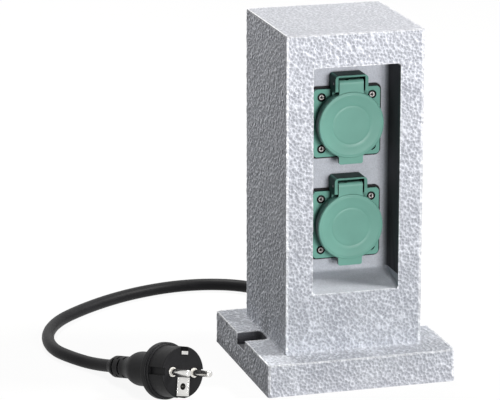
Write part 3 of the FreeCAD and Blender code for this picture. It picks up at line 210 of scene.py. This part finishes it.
# Lid face: radius from the middle and height above the lid's front, in millimetres. The round
# line of the lid in CAD stands out of that front.
LID_TURNS = 160
LID_LINE_HEIGHT = 0.0003
LID_FACE = [
    (6.0, 0.40),
    (12.5, 0.40),
    (13.7, 0.40),
    (14.0, 0.31),
    (14.3, 0.31),
    (14.6, 0.42),
    (17.0, 0.47),
    (19.5, 0.57),
    (21.5, 0.76),
    (22.3, 0.84),
    (22.7, 0.68),
    (23.0, 0.76),
    (23.6, 0.72),
    (24.1, 0.50),
    (24.3, -0.1),
]

# Light: weak even light all round, and a pale floor that looks whiter than it lights
AMBIENT = 0.03
FLOOR_SIZE = 12
FLOOR_GAP = 0.0002
FLOOR_WHITE = 0.92
FLOOR_BOUNCE = 0.12
FLOOR_SEEN = 0.95
WHITE = (1, 1, 1)
WARM = (1, 0.99, 0.96)


def set_up_view():
    bpy.context.scene.view_settings.view_transform = "Standard"


def show(name, data):
    """A new object in the scene."""
    made = bpy.data.objects.new(name, data)
    bpy.context.scene.collection.objects.link(made)
    return made


def aim(thing, way):
    """Turn a camera or a lamp to look along a way."""
    thing.rotation_mode = "QUATERNION"
    thing.rotation_quaternion = way.to_track_quat("-Z", "Y")


def make_camera():
    azimuth = math.radians(CAMERA_AZIMUTH)
    elevation = math.radians(CAMERA_ELEVATION)
    back = Vector(
        (
            math.sin(azimuth) * math.cos(elevation),
            -math.cos(azimuth) * math.cos(elevation),
            math.sin(elevation),
        )
    )
    data = bpy.data.cameras.new("camera")
    data.sensor_width = CAMERA_SENSOR
    data.lens = CAMERA_LENS
    data.clip_start = CAMERA_NEAREST
    data.clip_end = CAMERA_FARTHEST
    camera = show("camera", data)
    camera.location = Vector(CAMERA_TARGET) + back * CAMERA_DISTANCE
    aim(camera, -back)
    bpy.context.scene.camera = camera


def piece(name, data, body="root"):
    """A new object of the model, which moves with a body."""
    made = show(name, data)
    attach(made, body)
    return made


class Tree:
    """A node tree, built by naming nodes and joining their sockets."""

    def __init__(self, tree):
        self.tree = tree

    def node(self, kind, **settings):
        made = self.tree.nodes.new(kind)
        for field, value in settings.items():
            setattr(made, field, value)
        return made

    def join(self, start, end):
        self.tree.links.new(start, end)

    def feed(self, socket, value):
        """Give a socket another socket's value, a colour, a vector or a number."""
        if isinstance(value, bpy.types.NodeSocket):
            self.join(value, socket)
        elif hasattr(value, "__len__") and socket.type == "RGBA":
            socket.default_value = (*value, 1)
        else:
            socket.default_value = value

    def math(self, operation, first, second=0.0):
        made = self.node("ShaderNodeMath", operation=operation)
        self.feed(made.inputs[0], first)
        self.feed(made.inputs[1], second)
        return made.outputs["Value"]

    def add(self, first, second):
        return self.math("ADD", first, second)

    def subtract(self, first, second):
        return self.math("SUBTRACT", first, second)

    def product(self, *values):
        return reduce(lambda total, value: self.math("MULTIPLY", total, value), values)

    def largest(self, *values):
        return reduce(lambda total, value: self.math("MAXIMUM", total, value), values)

    def smallest(self, *values):
        return reduce(lambda total, value: self.math("MINIMUM", total, value), values)

    def vector(self, operation, first, second=(0, 0, 0), result="Vector"):
        made = self.node("ShaderNodeVectorMath", operation=operation)
        self.feed(made.inputs[0], first)
        self.feed(made.inputs[1], second)
        return made.outputs[result]

    def scaled(self, vector, factor):
        made = self.node("ShaderNodeVectorMath", operation="SCALE")
        self.join(vector, made.inputs[0])
        self.feed(made.inputs["Scale"], factor)
        return made.outputs["Vector"]

    def axes(self, place):
        made = self.node("ShaderNodeSeparateXYZ")
        self.join(place, made.inputs["Vector"])
        return made.outputs

    def noise(self, place, scale, detail, roughness=0.5, result="Fac"):
        made = self.node("ShaderNodeTexNoise")
        made.inputs["Scale"].default_value = scale
        made.inputs["Detail"].default_value = detail
        made.inputs["Roughness"].default_value = roughness
        self.join(place, made.inputs["Vector"])
        return made.outputs[result]

    def stretch(self, value, ends=(0, 1), to=(0, 1), kind="LINEAR"):
        """A value between two ends, stretched to run between two others and held beyond them."""
        made = self.node("ShaderNodeMapRange", interpolation_type=kind)
        self.join(value, made.inputs["Value"])
        for end, before, after in zip(("Min", "Max"), ends, to):
            made.inputs[f"From {end}"].default_value = before
            made.inputs[f"To {end}"].default_value = after
        return made.outputs["Result"]

    def within(self, value, low, high):
        """A share that is 1 where a value lies between two others, and 0 elsewhere."""
        rise = self.stretch(value, (low - SOFT_BORDER, low + SOFT_BORDER))
        fall = self.stretch(value, (high - SOFT_BORDER, high + SOFT_BORDER), to=(1, 0))
        return self.product(rise, fall)

    def beyond(self, value, low, high):
        """How far a value lies outside two others, below 0 where it lies between them."""
        return self.largest(self.subtract(low, value), self.subtract(value, high))

    def without(self, share):
        """What a share leaves of 1."""
        return self.subtract(1, share)

    def pits(self, place):
        """The casting's pitted relief: 0 at the bottom of a pit, 1 on the ridges between pits."""
        cloud = self.noise(place, scale=PIT_DRIFT_SCALE, detail=1, result="Color")
        drift = self.vector("SUBTRACT", cloud, HALF)
        moved = self.vector("ADD", place, self.scaled(drift, PIT_DRIFT))
        cells = self.node("ShaderNodeTexVoronoi", feature="F1", distance="EUCLIDEAN")
        cells.inputs["Scale"].default_value = 1 / PIT_PITCH
        self.join(moved, cells.inputs["Vector"])
        return self.math("POWER", self.stretch(cells.outputs["Distance"], PIT_BOWL), PIT_HOLLOWNESS)


class Casting:
    """Shares of the stone's surface, each worked out from a place on it."""

    def __init__(self, tree, place):
        self.tree = tree
        self.x, self.y, self.z = tree.axes(place)
        self.across = tree.math("ABSOLUTE", self.x)
        self.along = tree.math("ABSOLUTE", tree.subtract(self.y, COLUMN_MIDDLE))
        self.depths = [
            tree.subtract(COLUMN_HALF, self.across),
            tree.subtract(COLUMN_HALF, self.along),
            tree.subtract(COLUMN_TOP, self.z),
        ]

    def niche(self):
        tree = self.tree
        return tree.product(
            tree.within(self.x, NICHE_LEFT - NICHE_SPILL, NICHE_RIGHT + NICHE_SPILL),
            tree.within(self.y, COLUMN_FRONT + NICHE_LIP, NICHE_BEHIND),
            tree.within(self.z, NICHE_LOW - NICHE_SPILL, NICHE_TOP + NICHE_SPILL),
        )

    def slots(self):
        tree = self.tree
        return tree.product(
            tree.within(self.across, COLUMN_HALF - SKIN, PLATE_HALF_WIDTH - SLOT_SPILL),
            tree.within(self.along, -FAR, SLOT_HALF + SLOT_SPILL),
            tree.within(self.z, SLOT_FLOOR - SLOT_SPILL, PLATE_TOP - SLOT_SPILL),
        )

    def top(self):
        return self.tree.within(self.z, COLUMN_TOP - EDGE_WIDTH / 2, FAR)

    def rough(self):
        """The pitted outside, calmer on the column's top."""
        tree = self.tree
        pitted = tree.without(tree.largest(self.niche(), self.slots()))
        return tree.product(pitted, tree.stretch(self.top(), to=(1, PITS_ON_TOP)))

    def skin(self):
        """The outer side of the walls, from the floor up."""
        tree = self.tree
        outside = tree.within(tree.smallest(*self.depths), -FAR, SKIN)
        return tree.product(outside, tree.stretch(self.z, PITS_BEGIN))

    def block_edges(self, across, along, top):
        """The edges of a block, from a place's depth under its sides, its front or back, and its top."""
        tree = self.tree
        upright = tree.product(
            tree.within(across, -FAR, UPRIGHT_EDGE_SIDE),
            tree.within(along, -FAR, UPRIGHT_EDGE_FRONT),
        )
        upper = tree.product(
            tree.within(tree.smallest(across, along), -FAR, EDGE_WIDTH),
            tree.within(top, -FAR, EDGE_WIDTH),
        )
        return tree.largest(upright, upper)

    def column_edges(self):
        above_plate = self.tree.within(self.z, COLUMN_EDGES_START, FAR)
        return self.tree.product(self.block_edges(*self.depths), above_plate)

    def plate_edges(self):
        tree = self.tree
        edges = self.block_edges(
            tree.subtract(PLATE_HALF_WIDTH, self.across),
            tree.subtract(PLATE_HALF_DEPTH, tree.math("ABSOLUTE", self.y)),
            tree.subtract(PLATE_TOP, self.z),
        )
        return tree.product(edges, tree.within(self.z, PLATE_EDGES_START, PLATE_TOP + RIM_OUTSIDE))

    def niche_rim(self):
        tree = self.tree
        outside = tree.largest(
            tree.beyond(self.x, NICHE_LEFT, NICHE_RIGHT),
            tree.beyond(self.z, NICHE_LOW, NICHE_TOP),
        )
        in_front = tree.within(self.y, -FAR, COLUMN_FRONT + RIM_OUTSIDE)
        return tree.product(tree.within(outside, -RIM_INSIDE, RIM_INSIDE), in_front)

    def slot_rims(self):
        """The edges of the side slots, along the plate's top and down its sides."""
        tree = self.tree
        beside = tree.within(tree.subtract(self.along, SLOT_HALF), -RIM_INSIDE, RIM_OUTSIDE)
        on_top = tree.product(
            beside,
            tree.within(self.across, COLUMN_HALF + RIM_OUTSIDE, FAR),
            tree.within(self.z, PLATE_TOP - RIM_OUTSIDE, PLATE_TOP + RIM_OUTSIDE),
        )
        at_mouth = tree.product(
            beside,
            tree.within(self.across, PLATE_HALF_WIDTH - RIM_OUTSIDE, FAR),
            tree.within(self.z, SLOT_FLOOR, PLATE_TOP),
        )
        return tree.largest(on_top, at_mouth)

    def rubbed(self):
        """The pale edges of column, plate, niche and slots."""
        return self.tree.largest(
            self.column_edges(),
            self.plate_edges(),
            self.niche_rim(),
            self.slot_rims(),
        )

    def dark(self):
        """The niche's right side and the side slots, where no light falls."""
        tree = self.tree
        niche = tree.product(
            tree.stretch(self.x, (NICHE_RIGHT - DARK_STRIP, NICHE_RIGHT)),
            self.niche(),
            tree.within(self.z, NICHE_LOW + DARK_ABOVE_FLOOR, FAR),
        )
        return tree.largest(niche, tree.product(DARK_SLOTS, self.slots()))


class Paint(Tree):
    """A material on the principled shader."""

    def __init__(self, name, edge=0.0):
        self.name = name
        self.material = bpy.data.materials.new(name)
        self.material.use_nodes = True
        super().__init__(self.material.node_tree)
        self.shader = self.tree.nodes["Principled BSDF"]
        self.place = self.node("ShaderNodeTexCoord").outputs["Object"]
        self.edge = edge

    def box_place(self):
        """The place within the object's box, from 0 to 1 along each axis."""
        return self.node("ShaderNodeTexCoord").outputs["Generated"]

    def grain(self, scale, detail, roughness=0.5):
        return self.noise(self.place, scale, detail, roughness)

    def painted_crevice_shade(self, reach):
        """A share of painted shade: it falls from 1 in the open to 0 in gaps and corners."""
        made = self.node("ShaderNodeAmbientOcclusion", samples=8)
        made.inputs["Distance"].default_value = reach
        return self.stretch(made.outputs["AO"], CREVICE_SHADE_FADE, kind="SMOOTHSTEP")

    def painted_side_light(self):
        """A share of painted light: it falls from 1 to 0, into painted shade, on sides that face left or
        straight up.
        """
        normal = self.axes(self.node("ShaderNodeNewGeometry").outputs["Normal"])
        not_left = self.stretch(normal["X"], LEFT_SHADE_FADE)
        not_up = self.stretch(normal["Z"], UPWARD_SHADE_FADE, to=(1, 0))
        return self.product(not_left, not_up)

    def ramp(self, value, *stops):
        """A colour for a value: each stop is a position and a colour."""
        made = self.node("ShaderNodeValToRGB")
        self.join(value, made.inputs["Fac"])
        band = made.color_ramp
        while len(band.elements) < len(stops):
            band.elements.new(0.5)
        for element, (position, colour) in zip(band.elements, stops):
            element.position = position
            element.color = (*colour, 1)
        return made.outputs["Color"]

    def mix(self, share, first, second, blend="MIX"):
        made = self.node("ShaderNodeMix", data_type="RGBA", blend_type=blend)
        sockets = [socket for socket in made.inputs if socket.enabled]
        for socket, value in zip(sockets, (share, first, second)):
            self.feed(socket, value)
        return next(socket for socket in made.outputs if socket.enabled)

    def times(self, first, second):
        """One colour multiplied with another, or with a grey."""
        return self.mix(1.0, first, second, "MULTIPLY")

    def darken(self, share, least):
        """Let the colour made so far fall to a part of itself where a share falls to 0."""
        clean = self.shader.inputs["Base Color"].links[0].from_socket
        self.colour(self.times(clean, self.stretch(share, to=(least, 1))))

    def relief(self, height, distance, strength=1.0):
        """Bump on top of edges that are rounded off in the shading."""
        made = self.node("ShaderNodeBump")
        made.inputs["Distance"].default_value = distance
        made.inputs["Strength"].default_value = strength
        self.join(height, made.inputs["Height"])
        if self.edge:
            rounding = self.node("ShaderNodeBevel", samples=4)
            rounding.inputs["Radius"].default_value = self.edge
            self.join(rounding.outputs["Normal"], made.inputs["Normal"])
        self.join(made.outputs["Normal"], self.shader.inputs["Normal"])

    def colour(self, value):
        self.feed(self.shader.inputs["Base Color"], value)

    def roughness(self, value):
        self.feed(self.shader.inputs["Roughness"], value)

    def gloss(self, value):
        self.feed(self.shader.inputs["Specular IOR Level"], value)


def tint(shade, factor):
    return tuple(value * factor for value in shade)


def plastic(name, shade, roughness, variation, gloss=0.4):
    """Moulded plastic: fine grain, faint clouds in its colour, painted shade in gaps and corners and on
    left and top sides, and unevenly worn gloss.
    """
    paint = Paint(name, MOULDED_EDGE)
    clouds = paint.grain(scale=60, detail=4)
    paint.colour(paint.ramp(clouds, (0.3, tint(shade, 1 - variation)), (0.7, tint(shade, 1 + variation))))
    # Painted shade in gaps and corners and on sides that face left or straight up.
    paint.darken(paint.painted_crevice_shade(reach=0.009), least=0.1)
    paint.darken(paint.painted_side_light(), least=0.2)
    smears = paint.grain(scale=220, detail=3, roughness=0.6)
    paint.roughness(paint.stretch(smears, to=(roughness - GLOSS_WEAR, roughness + GLOSS_WEAR)))
    paint.gloss(gloss)
    paint.relief(paint.grain(scale=2600, detail=2, roughness=0.6), distance=0.00002, strength=0.5)
    return paint


def rubber(name, shade, roughness, gloss):
    """Matt rubber with a fine skin and dusty patches."""
    paint = Paint(name, MOULDED_EDGE)
    clouds = paint.grain(scale=90, detail=4)
    paint.colour(paint.ramp(clouds, (0.35, tint(shade, 0.8)), (0.65, tint(shade, 1.2))))
    dust = paint.grain(scale=350, detail=3, roughness=0.6)
    paint.roughness(paint.stretch(dust, to=(roughness - GLOSS_WEAR, roughness + GLOSS_WEAR)))
    paint.gloss(gloss)
    paint.relief(paint.grain(scale=3200, detail=2, roughness=0.6), distance=0.00003, strength=0.6)
    return paint


def metal(name, shade, roughness):
    """Plated metal with fine scratches and painted shade in gaps and corners."""
    paint = Paint(name, METAL_EDGE)
    paint.feed(paint.shader.inputs["Metallic"], 1.0)
    clouds = paint.grain(scale=140, detail=3)
    paint.colour(paint.ramp(clouds, (0.3, tint(shade, 0.8)), (0.7, shade)))
    paint.darken(paint.painted_crevice_shade(reach=0.003), least=0.05)
    scratches = paint.grain(scale=900, detail=3, roughness=0.7)
    paint.roughness(paint.stretch(scratches, to=(roughness - GLOSS_WEAR, roughness + SCRATCH_WEAR)))
    paint.relief(scratches, distance=0.00002, strength=0.4)
    return paint


def socket_green():
    """Green of a socket body, with painted shade on the hood over the lid's hinge."""
    paint = plastic("socket_green", GREEN, roughness=0.4, variation=0.05, gloss=0.03)
    height = paint.axes(paint.box_place())["Z"]
    # Painted shade on the hood over the lid's hinge.
    out_of_hood_shade = paint.stretch(height, (HOOD_SHADE_START, HOOD_SHADE_START + HOOD_SHADE_BORDER), to=(1, 0))
    paint.darken(out_of_hood_shade, least=0.8)
    return paint


def screw_steel():
    """Steel of the mounting screws, with a painted highlight on the crown of each head and painted shade
    at its rim and recess.
    """
    paint = metal("screw_steel", (0.62, 0.60, 0.59), roughness=0.3)
    from_middle = paint.vector("SUBTRACT", paint.box_place(), HALF)
    folded = paint.vector("ABSOLUTE", from_middle)
    from_screw = paint.vector("SUBTRACT", folded, (SCREW_SPOT, 0, SCREW_SPOT))
    flat = paint.vector("MULTIPLY", from_screw, (SCREW_SPREAD, 0, SCREW_SPREAD))
    radius = paint.vector("LENGTH", flat, result="Value")
    # Painted highlight on each head's crown, painted shade at its rim and in its recess.
    painted_light_on_heads = paint.ramp(
        paint.stretch(radius, (0, SCREW_REACH)),
        (0.3, SCREW_SHADE),
        (0.42, (0.4, 0.38, 0.37)),
        (0.55, (0.3, 0.28, 0.28)),
        (0.66, SCREW_SHADE),
    )
    paint.colour(painted_light_on_heads)
    return paint


def pitted_finish(paint, rise, height):
    """Grey pits and paler ridges, brushed more fully the higher they are, with even patches."""
    lightly = paint.ramp(height, *LIGHTLY_BRUSHED)
    fully = paint.ramp(height, *FULLY_BRUSHED)
    strokes = paint.grain(scale=45, detail=4, roughness=0.6)
    brushing = paint.add(strokes, paint.stretch(rise, (0, COLUMN_TOP), to=BRUSHING_BY_HEIGHT))
    pitted = paint.mix(paint.stretch(brushing, BRUSH_FADE, kind="SMOOTHSTEP"), lightly, fully)
    clouds = paint.grain(scale=28, detail=3, roughness=0.6)
    patches = paint.stretch(clouds, PATCH_FADE, to=(0, EVEN_PATCHES_MOST))
    return paint.mix(patches, pitted, EVEN_PATCHES)


def plain_finish(paint, casting):
    """The smoother grey of niche and slots, with painted shade where no light falls and in gaps and
    corners.
    """
    strokes = paint.grain(scale=70, detail=5, roughness=0.65)
    light = paint.product(paint.without(casting.dark()), paint.painted_crevice_shade(reach=0.0035))
    return paint.mix(light, UNLIT_GREY, paint.ramp(strokes, *NICHE_GREYS))


def stone_paint():
    """Grey casting with pale ridges and edges, a smoother finish inside its niche, and painted light by
    height.
    """
    paint = Paint("cast_stone")
    casting = Casting(paint, paint.place)
    rough = casting.rough()
    height = paint.pits(paint.place)
    fine = paint.grain(scale=900, detail=3, roughness=0.6)
    base = paint.mix(rough, plain_finish(paint, casting), pitted_finish(paint, casting.z, height))
    marks = paint.grain(scale=160, detail=3, roughness=0.6)
    scuffs = paint.stretch(marks, SCUFF_FADE, to=(SCUFFS_LEAST, 1))
    base = paint.mix(paint.product(casting.rubbed(), scuffs), base, RUBBED_WHITE)
    base = paint.times(base, paint.ramp(fine, *SPECKLE))
    # Painted light: darkest a little above the plate and paler up the column.
    painted_height_light = paint.ramp(paint.stretch(casting.z, (0, PAINTED_LIGHT_HEIGHT)), *PAINTED_LIGHT_BY_HEIGHT)
    paint.colour(paint.times(base, painted_height_light))
    paint.darken(paint.without(casting.top()), TOP_TONE)
    paint.roughness(paint.stretch(fine, to=STONE_ROUGHNESS))
    paint.gloss(STONE_GLOSS)
    bumps = paint.add(paint.product(height, rough), paint.product(fine, FINE_RELIEF_SHARE))
    paint.relief(bumps, distance=STONE_RELIEF)
    return paint


def dress(node, paint):
    """Give a carried-over CAD node its finish."""
    for spot in NODES[node].material_slots:
        spot.material = paint.material


def make_cord(paint):
    data = bpy.data.curves.new("supply_cord", "CURVE")
    data.dimensions = "3D"
    spline = data.splines.new("NURBS")
    spline.points.add(len(CORD_POINTS) - 1)
    for point, place in zip(spline.points, CORD_POINTS):
        point.co = (*place, 1)
    spline.order_u = 3
    spline.use_endpoint_u = True
    spline.resolution_u = CORD_STEPS
    data.bevel_depth = CORD_DIAMETER / 2
    data.bevel_resolution = CORD_ROUNDNESS
    data.use_fill_caps = True
    data.materials.append(paint.material)
    cord = piece("supply_cord", data)
    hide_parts("cord")


def weld(mesh):
    """Join the points of a mesh that meet, and drop the faces that vanish with them."""
    welder = bmesh.new()
    welder.from_mesh(mesh)
    bmesh.ops.remove_doubles(welder, verts=welder.verts, dist=WELD_GAP)
    bmesh.ops.dissolve_degenerate(welder, edges=welder.edges, dist=WELD_GAP)
    welder.to_mesh(mesh)
    welder.free()


def applied(source):
    """The mesh of an object with its modifiers applied; the object itself goes."""
    evaluated = source.evaluated_get(bpy.context.evaluated_depsgraph_get())
    made = bpy.data.meshes.new_from_object(evaluated)
    bpy.data.objects.remove(source)
    return made


def remeshed(node):
    """A closed mesh of even quads with the shape of a CAD node."""
    source = show("source", NODES[node].data.copy())
    weld(source.data)
    remesh = source.modifiers.new("remesh", "REMESH")
    remesh.mode = "VOXEL"
    remesh.voxel_size = VOXEL
    return applied(source)


def crisp(mesh):
    """Pull the corners of the remeshed casting out to its flat faces."""
    places = np.empty(len(mesh.vertices) * 3)
    mesh.vertices.foreach_get("co", places)
    places = places.reshape(-1, 3)
    for axis, faces in enumerate(FACES):
        for face in faces:
            near = np.abs(places[:, axis] - face) < SNAP_REACH
            places[near, axis] = face
    mesh.vertices.foreach_set("co", places.ravel())
    weld(mesh)


def pit_modifier():
    """Sinks the pits into a mesh, along its normals."""
    group = bpy.data.node_groups.new("pits", "GeometryNodeTree")
    for way in ("INPUT", "OUTPUT"):
        group.interface.new_socket("Geometry", in_out=way, socket_type="NodeSocketGeometry")
    tree = Tree(group)
    start = tree.node("NodeGroupInput")
    end = tree.node("NodeGroupOutput")
    place = tree.node("GeometryNodeInputPosition").outputs["Position"]
    casting = Casting(tree, place)
    sunk = tree.stretch(tree.pits(place), to=(-PIT_DEPTH, 0))
    depth = tree.product(sunk, casting.rough(), casting.skin())
    offset = tree.scaled(tree.node("GeometryNodeInputNormal").outputs["Normal"], depth)
    moved = tree.node("GeometryNodeSetPosition")
    tree.join(start.outputs[0], moved.inputs["Geometry"])
    tree.join(offset, moved.inputs["Offset"])
    tree.join(moved.outputs["Geometry"], end.inputs[0])
    return group


def make_stone(paint):
    mesh = remeshed("stone_housing")
    crisp(mesh)
    source = show("source", mesh)
    source.modifiers.new("pits", "NODES").node_group = pit_modifier()
    mesh.calc_loop_triangles()
    fewer = source.modifiers.new("fewer", "DECIMATE")
    fewer.ratio = min(1, STONE_FACES / len(mesh.loop_triangles))
    mesh = applied(source)
    mesh.materials.clear()
    mesh.materials.append(paint.material)
    mesh.shade_smooth()
    mesh.set_sharp_from_angle(angle=math.radians(SHARP_ANGLE))
    stone = piece("stone_casting", mesh)
    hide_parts("stone_housing")


def ring_of_points(shape, middle, radius, y):
    """New points on a circle round a middle, in a plane that faces the front."""
    points = []
    for turn in range(LID_TURNS):
        angle = 2 * math.pi * turn / LID_TURNS
        x = middle.x + radius * math.cos(angle)
        z = middle.z + radius * math.sin(angle)
        points.append(shape.verts.new((x, y, z)))
    return points


def lid_face(prefix, paint):
    """The dished front of a lid, with its sunk middle and the groove along its rim."""
    low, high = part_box(f"{prefix}_rear_base")
    middle = (low + high) / 2
    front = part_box(f"{prefix}_lid")[0].y + LID_LINE_HEIGHT
    shape = bmesh.new()
    rings = [
        ring_of_points(shape, middle, radius * MM, front - height * MM)
        for radius, height in LID_FACE
    ]
    shape.faces.new(rings[0])
    for inner, outer in zip(rings, rings[1:]):
        for turn in range(LID_TURNS):
            following = (turn + 1) % LID_TURNS
            shape.faces.new((inner[turn], outer[turn], outer[following], inner[following]))
    shape.faces.new(rings[-1][::-1])
    bmesh.ops.recalc_face_normals(shape, faces=shape.faces)
    mesh = bpy.data.meshes.new(f"{prefix}_lid_face")
    shape.to_mesh(mesh)
    shape.free()
    mesh.shade_smooth()
    mesh.materials.append(paint.material)
    piece(f"{prefix}_lid_face", mesh, f"{prefix}_lid")


def seen(tree):
    """1 for what the camera sees, directly, in gloss or through a clear piece, and 0 for light."""
    path = tree.node("ShaderNodeLightPath")
    rays = ("Is Camera Ray", "Is Glossy Ray", "Is Transmission Ray")
    return tree.largest(*(path.outputs[ray] for ray in rays))


def make_sky():
    """Weak even light, which the camera and gloss see as white."""
    world = bpy.data.worlds.new("studio")
    bpy.context.scene.world = world
    world.use_nodes = True
    sky = Tree(world.node_tree)
    background = world.node_tree.nodes["Background"]
    sky.feed(background.inputs["Color"], WHITE)
    sky.feed(background.inputs["Strength"], sky.stretch(seen(sky), to=(AMBIENT, 1)))


def make_floor():
    """A pale floor, which runs out into the white behind it and keeps a soft shadow."""
    grid = bmesh.new()
    bmesh.ops.create_grid(grid, x_segments=2, y_segments=2, size=FLOOR_SIZE / 2)
    mesh = bpy.data.meshes.new("floor")
    grid.to_mesh(mesh)
    grid.free()
    floor = show("floor", mesh)
    floor.location.z = -FLOOR_GAP
    material = bpy.data.materials.new("floor")
    material.use_nodes = True
    material.node_tree.nodes.clear()
    look = Tree(material.node_tree)
    share = seen(look)
    pale = look.node("ShaderNodeBsdfDiffuse")
    look.feed(pale.inputs["Color"], look.stretch(share, to=(FLOOR_BOUNCE, FLOOR_SEEN)))
    white = look.node("ShaderNodeEmission")
    mixed = look.node("ShaderNodeMixShader")
    look.feed(mixed.inputs["Fac"], look.stretch(share, to=(0, FLOOR_WHITE)))
    look.join(pale.outputs["BSDF"], mixed.inputs[1])
    look.join(white.outputs["Emission"], mixed.inputs[2])
    output = look.node("ShaderNodeOutputMaterial")
    look.join(mixed.outputs["Shader"], output.inputs["Surface"])
    mesh.materials.append(material)


def area_light(name, place, target, size, power, colour=WHITE, glossy=True):
    """A round lamp that shines from a place to a target, left out of gloss where it isn't glossy."""
    data = bpy.data.lights.new(name, "AREA")
    data.shape = "DISK"
    data.size = size
    data.energy = power
    data.color = colour
    lamp = show(name, data)
    lamp.visible_glossy = glossy
    lamp.location = place
    aim(lamp, Vector(target) - Vector(place))


def make_lights():
    """A key light in front, one over the right, one above and behind, one far behind the left."""
    area_light("key", place=(0.32, -2.35, 0.42), target=(0, 0, 0.13), size=0.9, power=48)
    area_light("over", place=(1.3, -0.38, 1.4), target=(0, 0, 0.2), size=0.4, power=32, colour=WARM)
    area_light("above", place=(-0.15, 0.9, 1.9), target=(0, 0, 0.1), size=0.5, power=27, colour=WARM)
    area_light(
        "left",
        place=(-0.7, 2.2, 0.1),
        target=(0, 0, 0.1),
        size=0.2,
        power=46,
        colour=WARM,
        glossy=False,
    )


set_up_view()
make_camera()
black_rubber = rubber("black_rubber", (0.007, 0.007, 0.008), roughness=0.5, gloss=0.16)
green = plastic("green_plastic", GREEN, roughness=0.34, variation=0.05, gloss=0.2)
paints = [
    green,
    black_rubber,
    plastic("black_plastic", (0.03, 0.03, 0.03), roughness=0.5, variation=0.15),
    plastic("pale_plastic", (0.72, 0.70, 0.66), roughness=0.45, variation=0.05),
    plastic("brown_insulation", (0.16, 0.06, 0.03), roughness=0.4, variation=0.1),
    plastic("blue_insulation", (0.04, 0.18, 0.5), roughness=0.4, variation=0.1),
    plastic("earth_insulation", (0.35, 0.5, 0.06), roughness=0.4, variation=0.1),
    metal("steel", (0.30, 0.28, 0.28), roughness=0.3),
    metal("nickel_plate", (0.8, 0.79, 0.77), roughness=0.18),
    metal("brass", (0.72, 0.55, 0.26), roughness=0.28),
]
finishes = {paint.name: paint for paint in paints}
for part in frame["record"]["subparts"]:
    if part["material_slot"] in finishes:
        dress(part["node"], finishes[part["material_slot"]])
screws = screw_steel()
bodies = socket_green()
for prefix in SOCKETS:
    dress(f"{prefix}_mounting_screws", screws)
    dress(f"{prefix}_socket_body", bodies)
make_cord(black_rubber)
make_stone(stone_paint())
for prefix in SOCKETS:
    lid_face(prefix, green)
make_sky()
make_floor()
make_lights()
